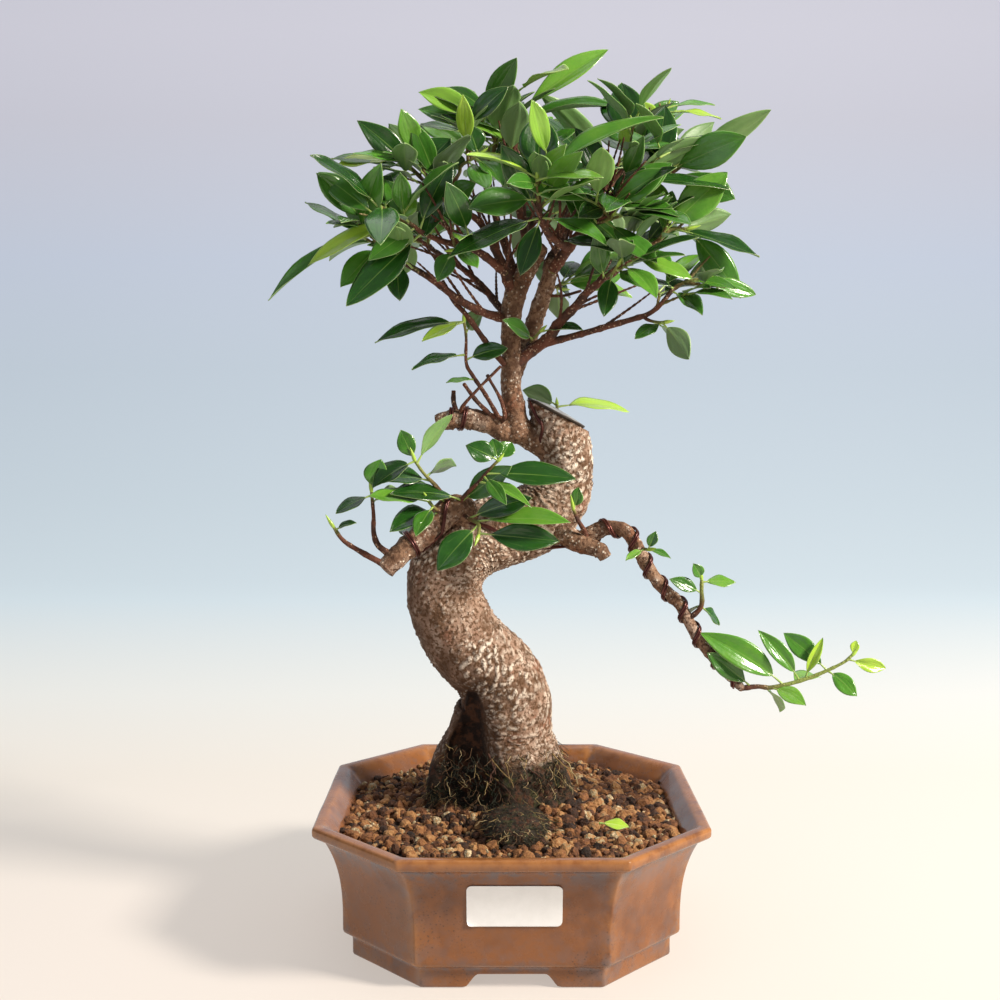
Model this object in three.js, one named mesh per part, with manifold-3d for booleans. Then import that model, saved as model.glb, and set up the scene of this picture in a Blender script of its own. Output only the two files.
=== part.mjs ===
// A shohin ficus bonsai in a square brown pot with cut corners. Units are millimetres and +Z is up.
// The plant is laid out about the middle of the pot, with heights measured from the pot's rim;
// at the end the whole group is moved so that the origin is the bottom centre of the object's box.
import * as THREE from "three";
import { mergeVertices } from "three/addons/utils/BufferGeometryUtils.js";
import Module from "manifold-3d";

const wasm = await Module();
wasm.setup();

// ---------------------------------------------------------------- driving dimensions
const FIT_GAP = 0.3; // clearance between pieces that touch
const RIM_WIDTH = 180; // across the flats of the pot's rim
const POT_HEIGHT = 63; // from the table to the rim
const CORNER_SHARE = 0.545; // length of a flat side divided by the width
const WALL = 6;
const FLOOR = 6;
const RIM_BAND = 5; // height of the rim's outer edge
const RIM_FLAT = 5; // width of the rim's top before it slopes inwards
const RIM_SLOPE = 6; // how far the rim's inner slope runs inwards
const RIM_OVERHANG = 4.5; // how far the rim stands out over the body
const RIM_EDGE = 1; // the small slopes above and below the rim's outer edge
const BODY_WIDTH = 154; // across the flats of the body at its foot
const FOOT_WIDTH = 146;
const FOOT_HEIGHT = 9;
const FOOT_THICKNESS = 9;
const FOOT_COVE = 2.3; // height of the slope from the feet out to the body
const NOTCH_HEIGHT = 6; // gap between two feet
const NOTCH_TOP = 29;
const NOTCH_BOTTOM = 41;
const DRAIN_DIAMETER = 14;
const DRAIN_SPACING = 62; // between the two holes' centres
const MESH_SIZE = 24;
const MESH_THICKNESS = 1;
const MESH_ROWS = 3;
const MESH_OPENING = 0.7; // width of a mesh opening as a share of the pitch
const SOIL_BELOW_RIM = 8; // at the pot's wall
const SOIL_MOUND = 7; // rise of the soil round the trunk
const MOUND_REACH = 48;
const SOIL_FRONT_RISE = 5.5; // rise of the soil towards the front wall
const LABEL_LENGTH = 41;
const LABEL_HEIGHT = 19.5;
const LABEL_THICKNESS = 0.4;
const LABEL_CORNER = 2.5;
const LABEL_GAP = 0.4; // the stiff paper stands clear of the wall's curve
const LABEL_CENTRE_X = 1;
const LABEL_CENTRE_Z = 39.5;
const PASTE_THICKNESS = 2.4; // sealing paste on the trunk's cut top
const PASTE_OVERHANG = 0.8;
const PASTE_EDGE = 0.6; // height of the paste's rim as a share of its thickness
const PASTE_CROWN = 1.15; // height of its middle
const PASTE_SHOULDER = 0.7; // where its flat top begins, as a share of its radius
const CUT_TILT = THREE.MathUtils.degToRad(27);
const WIRE_DIAMETER = 2.2;
const LEAF_THICKNESS = 1.1;
const LEAF_PETIOLE = 0.16; // share of a leaf's length that is its stalk
const LEAF_DROOP = 0.12; // how far the tip hangs, as a share of the length
const BLADE_STATIONS = [[0.36, 0.9], [0.66, 0.86]]; // share of the length, share of the half width
const STALK_RADIUS = 0.55;
const CUT_PAST = 5; // how far a cutter runs past the face it opens

// How finely the curved pieces are faceted.
const TRUNK_SIDES = 12;
const BRANCH_SIDES = 5;
const WIRE_SIDES = 5;
const WRAP_STEP = 45; // degrees of a wire's turn between two of its points
const WALL_STEPS = [0, 0.42, 0.65, 0.82, 0.93, 1]; // shares of the wall's height
const SOIL_RINGS = [1, 0.72, 0.45, 0.2, 0.02]; // shares of the pot's width

// Heights of the pot, from the table up.
const BAND_BOTTOM = POT_HEIGHT - RIM_BAND;
const BODY_BOTTOM = FOOT_HEIGHT + FOOT_COVE;
const FLOOR_TOP = FOOT_HEIGHT + FLOOR;
const BODY_TOP_WIDTH = RIM_WIDTH - 2 * RIM_OVERHANG;
const BODY_TOP = BAND_BOTTOM - RIM_EDGE;
const INNER_FOOT_WIDTH = BODY_WIDTH - 2 * WALL;
const INNER_TOP_WIDTH = RIM_WIDTH - 2 * (RIM_FLAT + RIM_SLOPE);
const MOUTH_WIDTH = RIM_WIDTH - 2 * RIM_FLAT;
const FLARE_POWER = 3.2; // the body stands nearly straight and flares just under the rim

// ---------------------------------------------------------------- the plant's skeleton
// A trunk point is [x, y, z, half width, depth as a share of the width].
const TRUNK = [
  [-6, 4, -12, 40, 0.62], [-6, 4, -1, 34.5, 0.62], [-7, 4, 14, 33, 0.66], [-6.5, 3, 31, 28, 0.74],
  [-4, 1, 46, 23, 0.85], [-9, -1, 61, 20.5, 0.95], [-22, -3, 76, 19.3, 1], [-30, -4, 91, 18.3, 1],
  [-32, -4, 103, 17.8, 1], [-28, -3, 115, 17.8, 1], [-18, 0, 124, 17.6, 1], [-3, 3, 129, 17.2, 1],
  [12, 5, 135, 17, 1], [22, 6, 145, 15.6, 1], [26, 5, 157, 13.2, 1], [26, 3, 168, 12.4, 1],
  [23, 2, 180, 13.2, 1], [21, 2, 198, 13.4, 1],
];
const CUT_CENTRE = [21, 2, 185];
// The hollow at the trunk's foot, open to the front: [height, centre, half width, how far back it goes].
const HOLLOW = [
  [1, -23, 12, -2], [16, -22, 11.5, -3], [31, -20.5, 8.5, -6], [47, -18, 4.5, -12], [56, -17, 1.2, -16],
];
const CUT_HALF_WIDTH = 14.2;
const ROOT = { centre: [2, -42, -2], halfWidth: 15, halfDepth: 23, halfHeight: 7 };

// A branch's route points are [x, y, z, radius]. Its leaves stand on the part of the route from point
// leafyFrom on. A leaf is [place along that part, bearing, lift, length, width, side its face turns to].
const BRANCHES = {
  crown_leader: {
    route: [[4, -2, 176, 6.6], [2, -3, 184, 5.9], [0, -4, 198, 4.9], [0, -4, 213, 4.4],
      [0, -3, 227, 4.5], [1, -2, 238, 5.2], [5, -1, 248, 4.4], [9, 0, 256, 4.6], [14, 0, 263, 4]],
  },
  crown_second_stem: {
    route: [[4, 6, 208, 3.2], [8, 8, 220, 4], [14, 8, 237, 4], [18, 5, 249, 3.6], [19, 2, 257, 3.4]],
  },
  limb_right: {
    route: [[10, 0, 215, 2.8], [18, -3, 221, 2.6], [22, -5, 227, 2.4], [30, -8, 235, 2.1],
      [36, -11, 242, 1.9], [47, -14, 250, 1.6], [55, -16, 256, 1.3], [61, -18, 260, 1.2],
      [67, -19, 264, 1], [73, -20, 269, 0.8], [80, -20, 269, 0.7]],
    leafyFrom: 7,
    leaves: [[0.75, -20, -15, 40, 14, "u"], [0.85, 25, 15, 26, 13, "a"], [1, -20, -45, 38, 16, "v"],
      [0.4, -75, 15, 16, 6, "u"], [0.45, 65, 75, 24, 10, "v"], [0.15, -65, -30, 20, 10, "u"],
      [0.85, 55, 0, 39, 15, "u"], [0.25, 75, 25, 38, 15, "a"]],
  },
  limb_right_up: {
    route: [[20, 0, 253, 2.8], [28, -8, 264, 2.4], [36, -14, 273, 1.9], [46, -20, 284, 1.4],
      [49, -21, 290, 1.2], [52, -22, 297, 1], [53, -22, 304, 0.8], [53, -22, 309, 0.7]],
    leafyFrom: 3,
    leaves: [[0.95, 135, 85, 29, 20, "v"], [1, 110, 55, 34, 16, "v"], [0.1, 5, 35, 52, 16, "b"],
      [0.25, -15, 5, 48, 17, "u"], [0.05, -140, 50, 33, 14, "v"], [0.7, -130, 70, 14, 7, "v"],
      [0, -150, 30, 34, 11, "v"]],
  },
  limb_back_right: {
    route: [[18, 4, 257, 2.2], [25, 14, 269, 1.9], [35, 24, 282, 1.6], [45, 30, 294, 1.4],
      [55, 26, 304, 1.2], [63, 20, 313, 1], [69, 14, 321, 0.7], [73, 10, 328, 0.7]],
    leafyFrom: 3,
    leaves: [[1, -15, 5, 26, 11, "u"], [0.85, 175, 60, 16, 10, "v"], [0.7, 35, 10, 29, 17, "u"],
      [0.15, -160, 55, 54, 16, "b"], [0.05, 180, 60, 51, 17, "u"], [0.45, 125, 45, 33, 16, "u"]],
  },
  limb_back: {
    route: [[12, 6, 260, 2.2], [10, 18, 273, 1.9], [8, 32, 286, 1.6], [5, 44, 298, 1.4], [3, 50, 307, 1.1],
      [2, 54, 316, 0.9], [0, 56, 323, 0.7]],
    leafyFrom: 3,
    leaves: [[1, 145, 35, 23, 17, "u"], [0.85, 30, 40, 23, 16, "u"], [0.45, 50, 20, 29, 17, "u"],
      [0.25, 125, 15, 31, 16, "u"], [0.7, 85, -25, 31, 17, "a"], [0.95, -65, 75, 18, 15, "a"]],
  },
  limb_top: {
    route: [[9, 0, 259, 2.4], [6, 2, 272, 2.1], [3, 3, 286, 1.7], [1, 4, 299, 1.4], [2, 4, 313, 1.3],
      [2, 3, 317, 1], [3, 2, 322, 0.8], [2, 0, 326, 0.7]],
    leafyFrom: 4,
    leaves: [[0.9, -10, 38, 52, 13, "v"], [0.65, -20, 20, 47, 14, "u"], [0.5, -175, 75, 18, 5, "v"],
      [0.95, 95, 40, 21, 11, "v"], [0.05, -85, 35, 14, 13, "a"], [0.45, 110, 35, 36, 15, "a"]],
  },
  limb_up: {
    route: [[2, 2, 250, 2.2], [-2, 8, 263, 1.9], [-6, 12, 274, 1.6], [-9, 14, 287, 1.4],
      [-11, 14, 301, 1.3], [-9, 13, 307, 1], [-8, 12, 313, 0.8], [-7, 10, 318, 0.7]],
    leafyFrom: 4,
    leaves: [[1, -170, 25, 38, 12, "v"], [0.85, -170, 10, 43, 14, "u"], [0.8, 140, 25, 40, 15, "u"],
      [0.65, 75, 40, 38, 16, "u"], [0.2, 125, 5, 25, 14, "u"]],
  },
  limb_left_up: {
    route: [[0, -4, 243, 2.5], [-6, -6, 259, 2.1], [-15, -9, 274, 1.4], [-25, -13, 280, 1.3],
      [-33, -17, 285, 1.1], [-40, -20, 291, 0.9], [-46, -21, 297, 0.7], [-51, -21, 300, 0.7]],
    leafyFrom: 2,
    leaves: [[0.75, -35, 50, 21, 18, "v"], [1, -165, 0, 28, 15, "u"], [0.95, 140, 0, 36, 16, "u"],
      [0.55, -90, -50, 27, 13, "v"], [0.35, -50, 25, 16, 13, "v"], [0.85, 115, 45, 29, 16, "a"],
      [0.6, 115, 0, 25, 16, "u"]],
  },
  limb_left: {
    route: [[-3, -6, 251, 2.1], [-14, -14, 259, 1.8], [-24, -20, 262, 1.5], [-31, -25, 263, 1.3],
      [-40, -32, 266, 1.1], [-44, -34, 269, 1], [-50, -35, 271, 0.7], [-53, -36, 271, 0.7]],
    leafyFrom: 4,
    leaves: [[0.95, -170, -20, 42, 15, "u"], [0.25, -140, -30, 26, 13, "v"], [0.7, -35, 60, 12, 9, "v"],
      [0.5, -170, 70, 22, 12, "v"], [0.1, -40, 65, 32, 14, "v"], [0, -150, -40, 48, 18, "v"],
      [0.9, 135, 10, 31, 16, "u"], [0.6, 105, 35, 30, 15, "a"]],
  },
  limb_long_left: {
    route: [[-4, -5, 230, 2.2], [-12, -9, 232, 2], [-23, -14, 237, 1.8], [-34, -18, 245, 1.6],
      [-42, -20, 250, 1.3], [-51, -22, 255, 1.2], [-58, -24, 260, 1], [-63, -26, 266, 0.8],
      [-64, -28, 273, 0.7]],
    leafyFrom: 5,
    leaves: [[1, -20, 60, 21, 15, "v"], [0.7, -165, -18, 53, 11, "u"], [0.45, -140, -40, 27, 13, "v"],
      [0.55, 140, 5, 32, 15, "u"], [0.05, -85, -65, 19, 12, "v"], [0.75, 125, 45, 25, 14, "a"],
      [0.35, -120, -55, 19, 8, "v"]],
  },
  limb_left_mid: {
    route: [[-5, 0, 235, 1.8], [-12, 6, 244, 1.6], [-21, 12, 253, 1.4], [-29, 16, 259, 1.3],
      [-37, 20, 264, 1.1], [-45, 26, 270, 1], [-52, 30, 274, 0.7], [-59, 32, 278, 0.7]],
    leafyFrom: 4,
    leaves: [[1, 150, -5, 26, 16, "u"], [0.85, 120, 40, 29, 16, "a"], [0.55, 110, -35, 25, 15, "a"],
      [0.4, 65, 45, 28, 15, "a"], [0.95, -155, 25, 21, 14, "u"]],
  },
  twig_bare_left: {
    route: [[-3, -7, 208, 1.4], [-12, -9, 219, 1.3], [-20, -10, 230, 1.2], [-27, -10, 238, 1.1],
      [-32, -8, 247, 0.9]],
  },
  limb_front: {
    route: [[25, -10, 263, 2.1], [18, -20, 266, 1.8], [13, -31, 273, 1.4], [12, -37, 278, 1.1],
      [11, -41, 283, 0.9], [11, -44, 288, 0.7]],
    leafyFrom: 2,
    leaves: [[0.95, -10, 40, 58, 13, "u"], [0.95, -65, 80, 28, 20, "v"], [1, -155, 25, 32, 16, "u"],
      [0.5, -145, -5, 34, 17, "v"], [0, -145, -15, 48, 19, "u"], [0, -40, -10, 39, 16, "u"],
      [0, -120, -55, 28, 12, "v"]],
  },
  limb_low_right: {
    route: [[23, -3, 220, 1.7], [35, -7, 223, 1.5], [46, -12, 226, 1.4], [57, -17, 229, 1.3],
      [63, -20, 231, 1.2], [68, -22, 235, 1.1], [72, -23, 240, 1], [75, -24, 243, 0.8],
      [80, -26, 245, 0.7], [85, -27, 246, 0.7]],
    leafyFrom: 6,
    leaves: [[0.1, -40, -25, 19, 14, "u"], [0.7, -25, 0, 22, 11, "u"], [1, 5, -15, 28, 10, "v"],
      [0.5, 50, 25, 26, 12, "a"], [0.2, -140, 15, 16, 10, "u"]],
  },
  branch_upper_left: {
    route: [[4, 0, 177, 6.2], [-4, -4, 178, 5.6], [-11, -6, 181, 5], [-22, -8, 183, 4.6],
      [-31, -9, 182, 4.2], [-35, -9, 181, 3.4]],
  },
  branch_lower_left: {
    route: [[-19, -6, 131, 7.4], [-26, -14, 141, 6.6], [-40, -20, 130, 5.8], [-50, -24, 122, 5.2],
      [-58, -27, 114, 4.8]],
  },
  branch_cascade: {
    route: [[32, -2, 124, 5], [38, -6, 128, 4.2], [45, -8, 131, 3.6], [54, -10, 130, 3.3],
      [59, -11, 123, 3.1], [64, -12, 114, 3], [71, -12, 104, 2.9], [79, -13, 96, 2.8],
      [83, -14, 89, 2.7], [88, -14, 80, 2.6], [95, -15, 71, 2.5], [101, -15, 64, 2.3],
      [109, -16, 56, 1.8]],
  },
  branch_stub_right: {
    route: [[30, -10, 125, 4.6], [37, -14, 123, 3.9], [42, -16, 121, 3.4], [44, -17, 118, 2.8]],
  },
  twig_stub_upright: {
    route: [[-26, -8, 187, 1.3], [-27, -8, 191, 1.1], [-27, -8, 196, 1]],
  },
  twig_upper_left_a: {
    route: [[-8, -9, 183, 1.1], [-16, -11, 191, 1], [-22, -12, 199, 0.8]],
  },
  twig_upper_left_b: {
    route: [[-3, -12, 184, 1], [-5, -13, 192, 0.8], [-10, -14, 201, 0.7], [-11, -14, 203, 0.9]],
  },
  twig_upper_left_crossing: {
    route: [[-23, -13, 188, 0.9], [-15, -17, 197, 0.7], [-9, -18, 203, 0.7], [-5, -18, 207, 0.7]],
  },
  right_outer_spray: {
    route: [[40, -17, 277, 1], [50, -14, 282, 1], [61, -12, 287, 0.9], [69, -12, 293, 0.7],
      [76, -12, 297, 0.7], [81, -12, 301, 0.7]],
    leafyFrom: 0,
    leaves: [[0.65, -45, 85, 36, 17, "v"], [1, -5, 30, 42, 14, "a"], [0.8, 50, 45, 35, 15, "a"],
      [0.95, -25, 20, 19, 9, "u"], [0.8, -25, -20, 32, 16, "v"], [0.45, -55, 5, 17, 10, "v"],
      [0.6, 100, 35, 33, 17, "a"]],
  },
  limb_spur_right: {
    route: [[36, -15, 272, 0.9], [40, -20, 272, 0.8], [44, -24, 273, 0.7], [46, -26, 275, 0.7]],
    leafyFrom: 0,
    leaves: [[1, -25, 0, 20, 13, "u"], [0.65, -40, -35, 32, 15, "u"], [1, -35, 55, 24, 16, "v"],
      [0.35, -125, 25, 21, 14, "v"]],
  },
  right_inner_spray: {
    route: [[41, -12, 245, 0.8], [44, -18, 248, 0.7], [46, -23, 249, 0.7], [48, -26, 252, 0.7]],
    leafyFrom: 0,
    leaves: [[0.95, -55, 45, 14, 8, "v"], [0.7, -110, -50, 23, 11, "v"], [0.25, -105, 40, 22, 11, "v"],
      [0.9, -50, -15, 21, 14, "u"]],
  },
  low_right_twig: {
    route: [[60, -18, 230, 0.8], [63, -20, 228, 0.7], [67, -21, 227, 0.7], [70, -21, 227, 0.7]],
    leafyFrom: 0,
    leaves: [[0.9, -10, -45, 21, 13, "a"], [0.95, -145, -15, 16, 9, "u"], [0.6, 50, -10, 30, 13, "u"]],
  },
  left_inner_spray: {
    route: [[-24, -10, 296, 0.8], [-23, -12, 299, 0.7], [-19, -14, 301, 0.7], [-15, -15, 303, 0.7]],
    leafyFrom: 0,
    leaves: [[0, -105, 55, 10, 9, "v"], [0.85, -45, -25, 21, 13, "u"], [0.6, -70, -25, 27, 12, "u"],
      [1, -115, 55, 14, 13, "v"], [0.25, 150, 25, 21, 15, "u"]],
  },
  left_hanging_leaf_spur: {
    route: [[-24, -21, 262, 0.7], [-25, -24, 260, 0.7], [-26, -27, 259, 0.7]],
    leafyFrom: 0,
    leaves: [[1, -135, -50, 16, 11, "v"], [0.5, -55, -25, 19, 10, "u"]],
  },
  back_low_spray: {
    route: [[9, 22, 276, 1], [12, 34, 280, 0.9], [13, 46, 283, 0.7], [14, 56, 287, 0.7]],
    leafyFrom: 0,
    leaves: [[1, 60, -10, 24, 18, "u"], [0.75, 125, 0, 29, 17, "u"], [0.9, 25, 20, 22, 16, "u"],
      [0.4, 115, -20, 26, 15, "a"], [1, 90, 45, 25, 16, "a"]],
  },
  back_right_spray: {
    route: [[38, 27, 286, 1], [46, 38, 288, 0.8], [53, 46, 291, 0.7], [59, 52, 294, 0.7]],
    leafyFrom: 0,
    leaves: [[1, 20, 10, 22, 17, "u"], [0.85, 50, -30, 21, 16, "a"], [0.65, 90, -50, 20, 16, "a"],
      [0.95, 90, 60, 21, 16, "a"], [0.45, 115, 40, 23, 16, "a"], [1, -25, 45, 20, 15, "u"]],
  },
  second_stem_leaves: {
    route: [[17, 6, 247, 0.7], [20, 8, 246, 0.7], [24, 11, 245, 0.7]],
    leafyFrom: 0,
    leaves: [[0.9, 45, -5, 11, 8, "v"], [0.75, 85, -30, 23, 12, "a"], [0.55, 100, 35, 24, 12, "a"]],
  },
  stem_leaf_pair: {
    route: [[8, 3, 218, 0.7], [10, -1, 220, 0.7], [14, -3, 224, 0.7]],
    leafyFrom: 0,
    leaves: [[1, -20, 10, 20, 12, "u"], [0.5, -110, 15, 23, 10, "v"]],
  },
  bare_twig: {
    route: [[15, 8, 242, 0.9], [24, 4, 241, 0.7], [33, 0, 243, 0.7]],
  },
  pale_back_leaf: {
    route: [[24, 12, 184, 0.9], [23, 19, 187, 0.7], [23, 23, 189, 0.7]],
    leafyFrom: 0,
    leaves: [[0.9, 20, 10, 39, 17, "u"], [1, 140, 30, 20, 14, "a"]],
  },
  stub_left_twig_leaves: {
    route: [[-5, -9, 182, 1.1], [-12, -9, 194, 1], [-18, -9, 203, 0.9], [-21, -9, 209, 0.8],
      [-21, -10, 221, 0.7], [-22, -10, 228, 0.7]],
    leafyFrom: 0,
    leaves: [[1, -170, 0, 41, 14, "u"], [1, -140, -15, 24, 9, "u"], [0.7, -160, -5, 27, 12, "u"],
      [0.45, -155, 5, 13, 7, "u"], [0.65, -20, 25, 20, 11, "v"], [0.9, 65, 40, 18, 10, "a"]],
  },
  low_left_shoot_up: {
    route: [[-28, -17, 141, 1.1], [-33, -22, 150, 1], [-40, -26, 158, 0.7], [-44, -28, 164, 0.7]],
    leafyFrom: 0,
    leaves: [[1, -155, -20, 22, 17, "u"], [1, -150, 60, 15, 10, "v"], [0.95, 35, 58, 27, 10, "b"],
      [0.6, -165, 15, 22, 16, "u"], [0.15, -145, 25, 25, 15, "u"], [0.7, 70, 20, 27, 14, "a"]],
  },
  low_left_shoot_right: {
    route: [[-25, -14, 141, 1.1], [-22, -20, 147, 1], [-15, -24, 154, 0.8], [-10, -26, 160, 0.7],
      [-6, -27, 164, 0.7]],
    leafyFrom: 0,
    leaves: [[0.15, -40, 32, 30, 14, "v"], [0.75, -12, 2, 40, 16, "u"], [0.6, -35, -5, 28, 8, "u"],
      [1, -150, 30, 16, 12, "v"], [1, 135, 70, 11, 9, "v"], [1, 40, 50, 12, 10, "v"],
      [0.2, -140, 20, 35, 15, "u"], [0.7, -65, -20, 23, 8, "v"]],
  },
  trunk_front_shoot: {
    route: [[-23, -14, 139, 1], [-20, -22, 137, 0.9], [-15, -28, 135, 0.8], [-15, -31, 130, 0.7]],
    leafyFrom: 0,
    leaves: [[0.95, -20, -3, 35, 15, "v"], [0.75, -145, -36, 28, 16, "v"], [0.4, -30, 25, 32, 13, "v"],
      [0.6, -25, 10, 44, 14, "u"]],
  },
  low_left_shoot_out: {
    route: [[-31, -19, 139, 1], [-35, -26, 142, 0.8], [-38, -30, 146, 0.7]],
    leafyFrom: 0,
    leaves: [[0.1, -135, 5, 31, 17, "u"], [1, -160, 10, 27, 14, "u"], [0.7, -110, -20, 23, 10, "u"]],
  },
  low_left_back_shoot: {
    route: [[-41, -14, 129, 0.9], [-41, -6, 127, 0.7], [-41, 1, 124, 0.7]],
    leafyFrom: 0,
    leaves: [[1, 145, -65, 13, 12, "v"], [0.65, 40, -35, 20, 12, "v"], [0.65, 125, 15, 23, 15, "u"],
      [1, 85, 20, 22, 15, "a"]],
  },
  low_left_twig_leaves: {
    route: [[-55, -25, 120, 1.7], [-61, -27, 125, 1.4], [-63, -28, 131, 1.2], [-63, -28, 139, 0.9],
      [-64, -27, 150, 0.7]],
    leafyFrom: 0,
    leaves: [[1, -40, 70, 15, 13, "v"], [0.95, -155, -15, 18, 12, "u"], [0.85, 75, 20, 22, 11, "a"]],
  },
  low_left_end_twig: {
    route: [[-58, -27, 116, 1.5], [-70, -29, 123, 1.2], [-77, -30, 128, 1], [-81, -31, 134, 0.7]],
    leafyFrom: 0,
    leaves: [[0.95, -35, 30, 11, 6, "u"]],
  },
  right_twig_leaf: {
    route: [[35, -13, 129, 1.2], [31, -16, 136, 0.9], [29, -17, 141, 0.7]],
    leafyFrom: 0,
    leaves: [[1, -40, 60, 10, 7, "v"]],
  },
  cascade_end_shoot: {
    route: [[109, -16, 56, 1.3], [116, -17, 57, 1.1], [124, -18, 57, 1], [140, -20, 62, 0.9],
      [154, -22, 69, 0.7], [159, -22, 73, 0.7]],
    leafyFrom: 0,
    leaves: [[0.08, -160, 42, 27, 12, "v"], [0.36, -172, 42, 45, 16, "v"], [0.25, -40, -5, 18, 11, "u"],
      [0.5, -165, 58, 29, 10, "v"], [0.55, -60, 72, 20, 6, "v"], [0.75, -40, -25, 17, 10, "v"],
      [0.75, 175, 45, 25, 12, "v"], [0.95, -12, -16, 18, 8, "v"], [1, 0, 75, 7, 5, "v"],
      [0.42, 50, 10, 26, 13, "u"], [0.2, 50, -25, 24, 12, "u"]],
  },
  cascade_twig_leaves: {
    route: [[84, -15, 89, 1.3], [89, -17, 95, 1.1], [89, -18, 103, 0.9], [89, -18, 108, 0.7]],
    leafyFrom: 0,
    leaves: [[0.7, -155, 30, 17, 8, "v"], [1, -130, 55, 9, 7, "v"], [0.95, 0, 5, 16, 9, "u"],
      [0.45, 110, -20, 17, 9, "u"], [0.4, 30, -35, 16, 10, "u"]],
  },
  cascade_small_twig: {
    route: [[61, -12, 122, 0.7], [63, -16, 122, 0.7], [64, -18, 122, 0.7]],
    leafyFrom: 0,
    leaves: [[0.9, -25, 0, 11, 5, "u"], [0.5, -130, -5, 14, 5, "u"], [1, -40, 70, 9, 6, "v"]],
  },
};
const FACES = {
  u: new THREE.Vector3(0, -0.6, 1), // upwards and a little to the front
  v: new THREE.Vector3(0, -1, 0.3), // to the front
  a: new THREE.Vector3(0, 1, 0.6), // to the back
  b: new THREE.Vector3(0, 0.8, 1), // up and to the back
};
const FALLEN_LEAF = { base: [40, -43, -1], leaf: [0, -15, 2, 13, 8, "u"] };

// ---------------------------------------------------------------- solids
function point(row) {
  return new THREE.Vector3(row[0], row[1], row[2] + POT_HEIGHT);
}

function solidOf(geometry) {
  const bare = geometry.clone();
  bare.deleteAttribute("normal");
  bare.deleteAttribute("uv");
  const merged = mergeVertices(bare, 1e-4);
  const vertProperties = new Float32Array(merged.attributes.position.array);
  const triVerts = new Uint32Array(merged.index.array);
  return new wasm.Manifold(new wasm.Mesh({ numProp: 3, vertProperties, triVerts }));
}

function geometryOf(solid) {
  const { vertProperties, triVerts } = solid.getMesh();
  const geometry = new THREE.BufferGeometry();
  geometry.setAttribute("position", new THREE.BufferAttribute(vertProperties, 3));
  geometry.setIndex(new THREE.BufferAttribute(triVerts, 1));
  return geometry;
}

// Joins rings of points into one closed solid, closed at its ends with flat fans, or with a tip.
function loft(rings, tip = null) {
  const count = rings[0].length;
  const vertices = rings.flat();
  const faces = [];
  for (let i = 0; i + 1 < rings.length; i += 1) {
    for (let k = 0; k < count; k += 1) {
      const a = i * count + k;
      const b = i * count + ((k + 1) % count);
      faces.push([a, b, b + count], [a, b + count, a + count]);
    }
  }
  const last = (rings.length - 1) * count;
  for (let k = 1; k + 1 < count; k += 1) {
    faces.push([0, k + 1, k]);
    if (!tip) faces.push([last, last + k, last + k + 1]);
  }
  if (tip) {
    for (let k = 0; k < count; k += 1) faces.push([last + k, last + ((k + 1) % count), vertices.length]);
    vertices.push(tip);
  }
  let volume = 0;
  for (const [a, b, c] of faces) {
    volume += vertices[a].dot(new THREE.Vector3().crossVectors(vertices[b], vertices[c]));
  }
  const order = volume > 0 ? faces : faces.map(([a, b, c]) => [a, c, b]);
  const geometry = new THREE.BufferGeometry().setFromPoints(vertices);
  geometry.setIndex(order.flat());
  return solidOf(geometry);
}

// Frames along a row of points: at each, the direction and two unit vectors across it. The first
// across vector starts towards the front and is carried along without twist.
function framesAlong(points) {
  const across = new THREE.Vector3(0, -1, 0);
  return points.map((here, i) => {
    const before = points[Math.max(i - 1, 0)];
    const after = points[Math.min(i + 1, points.length - 1)];
    const along = after.clone().sub(before).normalize();
    across.addScaledVector(along, -across.dot(along)).normalize();
    return { here, along, front: across.clone(), side: new THREE.Vector3().crossVectors(along, across) };
  });
}

function ringAt(frame, halfWidth, halfDepth, sides) {
  const ring = [];
  for (let k = 0; k < sides; k += 1) {
    const angle = (2 * Math.PI * (k + 0.5)) / sides;
    const place = frame.here.clone();
    place.addScaledVector(frame.side, halfWidth * Math.sin(angle));
    place.addScaledVector(frame.front, halfDepth * Math.cos(angle));
    ring.push(place);
  }
  return ring;
}

// A tapering limb through route points [x, y, z, radius, depth share], grown by some clearance.
function limb(route, sides, grow = 0) {
  const frames = framesAlong(route.map(point));
  frames[0].here.addScaledVector(frames[0].along, -grow);
  frames.at(-1).here.addScaledVector(frames.at(-1).along, grow);
  const rings = frames.map((frame, i) => {
    const [, , , radius, depthShare = 1] = route[i];
    return ringAt(frame, radius + grow, radius * depthShare + grow, sides);
  });
  return loft(rings);
}

// The point, radius and frame at a share of a route's length.
function placeOn(route, share) {
  const points = route.map(point);
  const frames = framesAlong(points);
  const steps = points.slice(1).map((here, i) => here.distanceTo(points[i]));
  let left = share * steps.reduce((sum, step) => sum + step, 0);
  let i = 0;
  while (i + 2 < points.length && left > steps[i]) {
    left -= steps[i];
    i += 1;
  }
  const part = Math.min(left / steps[i], 1);
  return {
    here: points[i].clone().lerp(points[i + 1], part),
    radius: THREE.MathUtils.lerp(route[i][3], route[i + 1][3], part),
    front: frames[i].front.clone().lerp(frames[i + 1].front, part).normalize(),
    side: frames[i].side.clone().lerp(frames[i + 1].side, part).normalize(),
  };
}

// A leaf: a thin stalk, then a blade with a raised middle that droops to a pointed tip.
const EDGE_ON = 0.15; // a leaf that points nearly the way its face should turn

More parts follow.
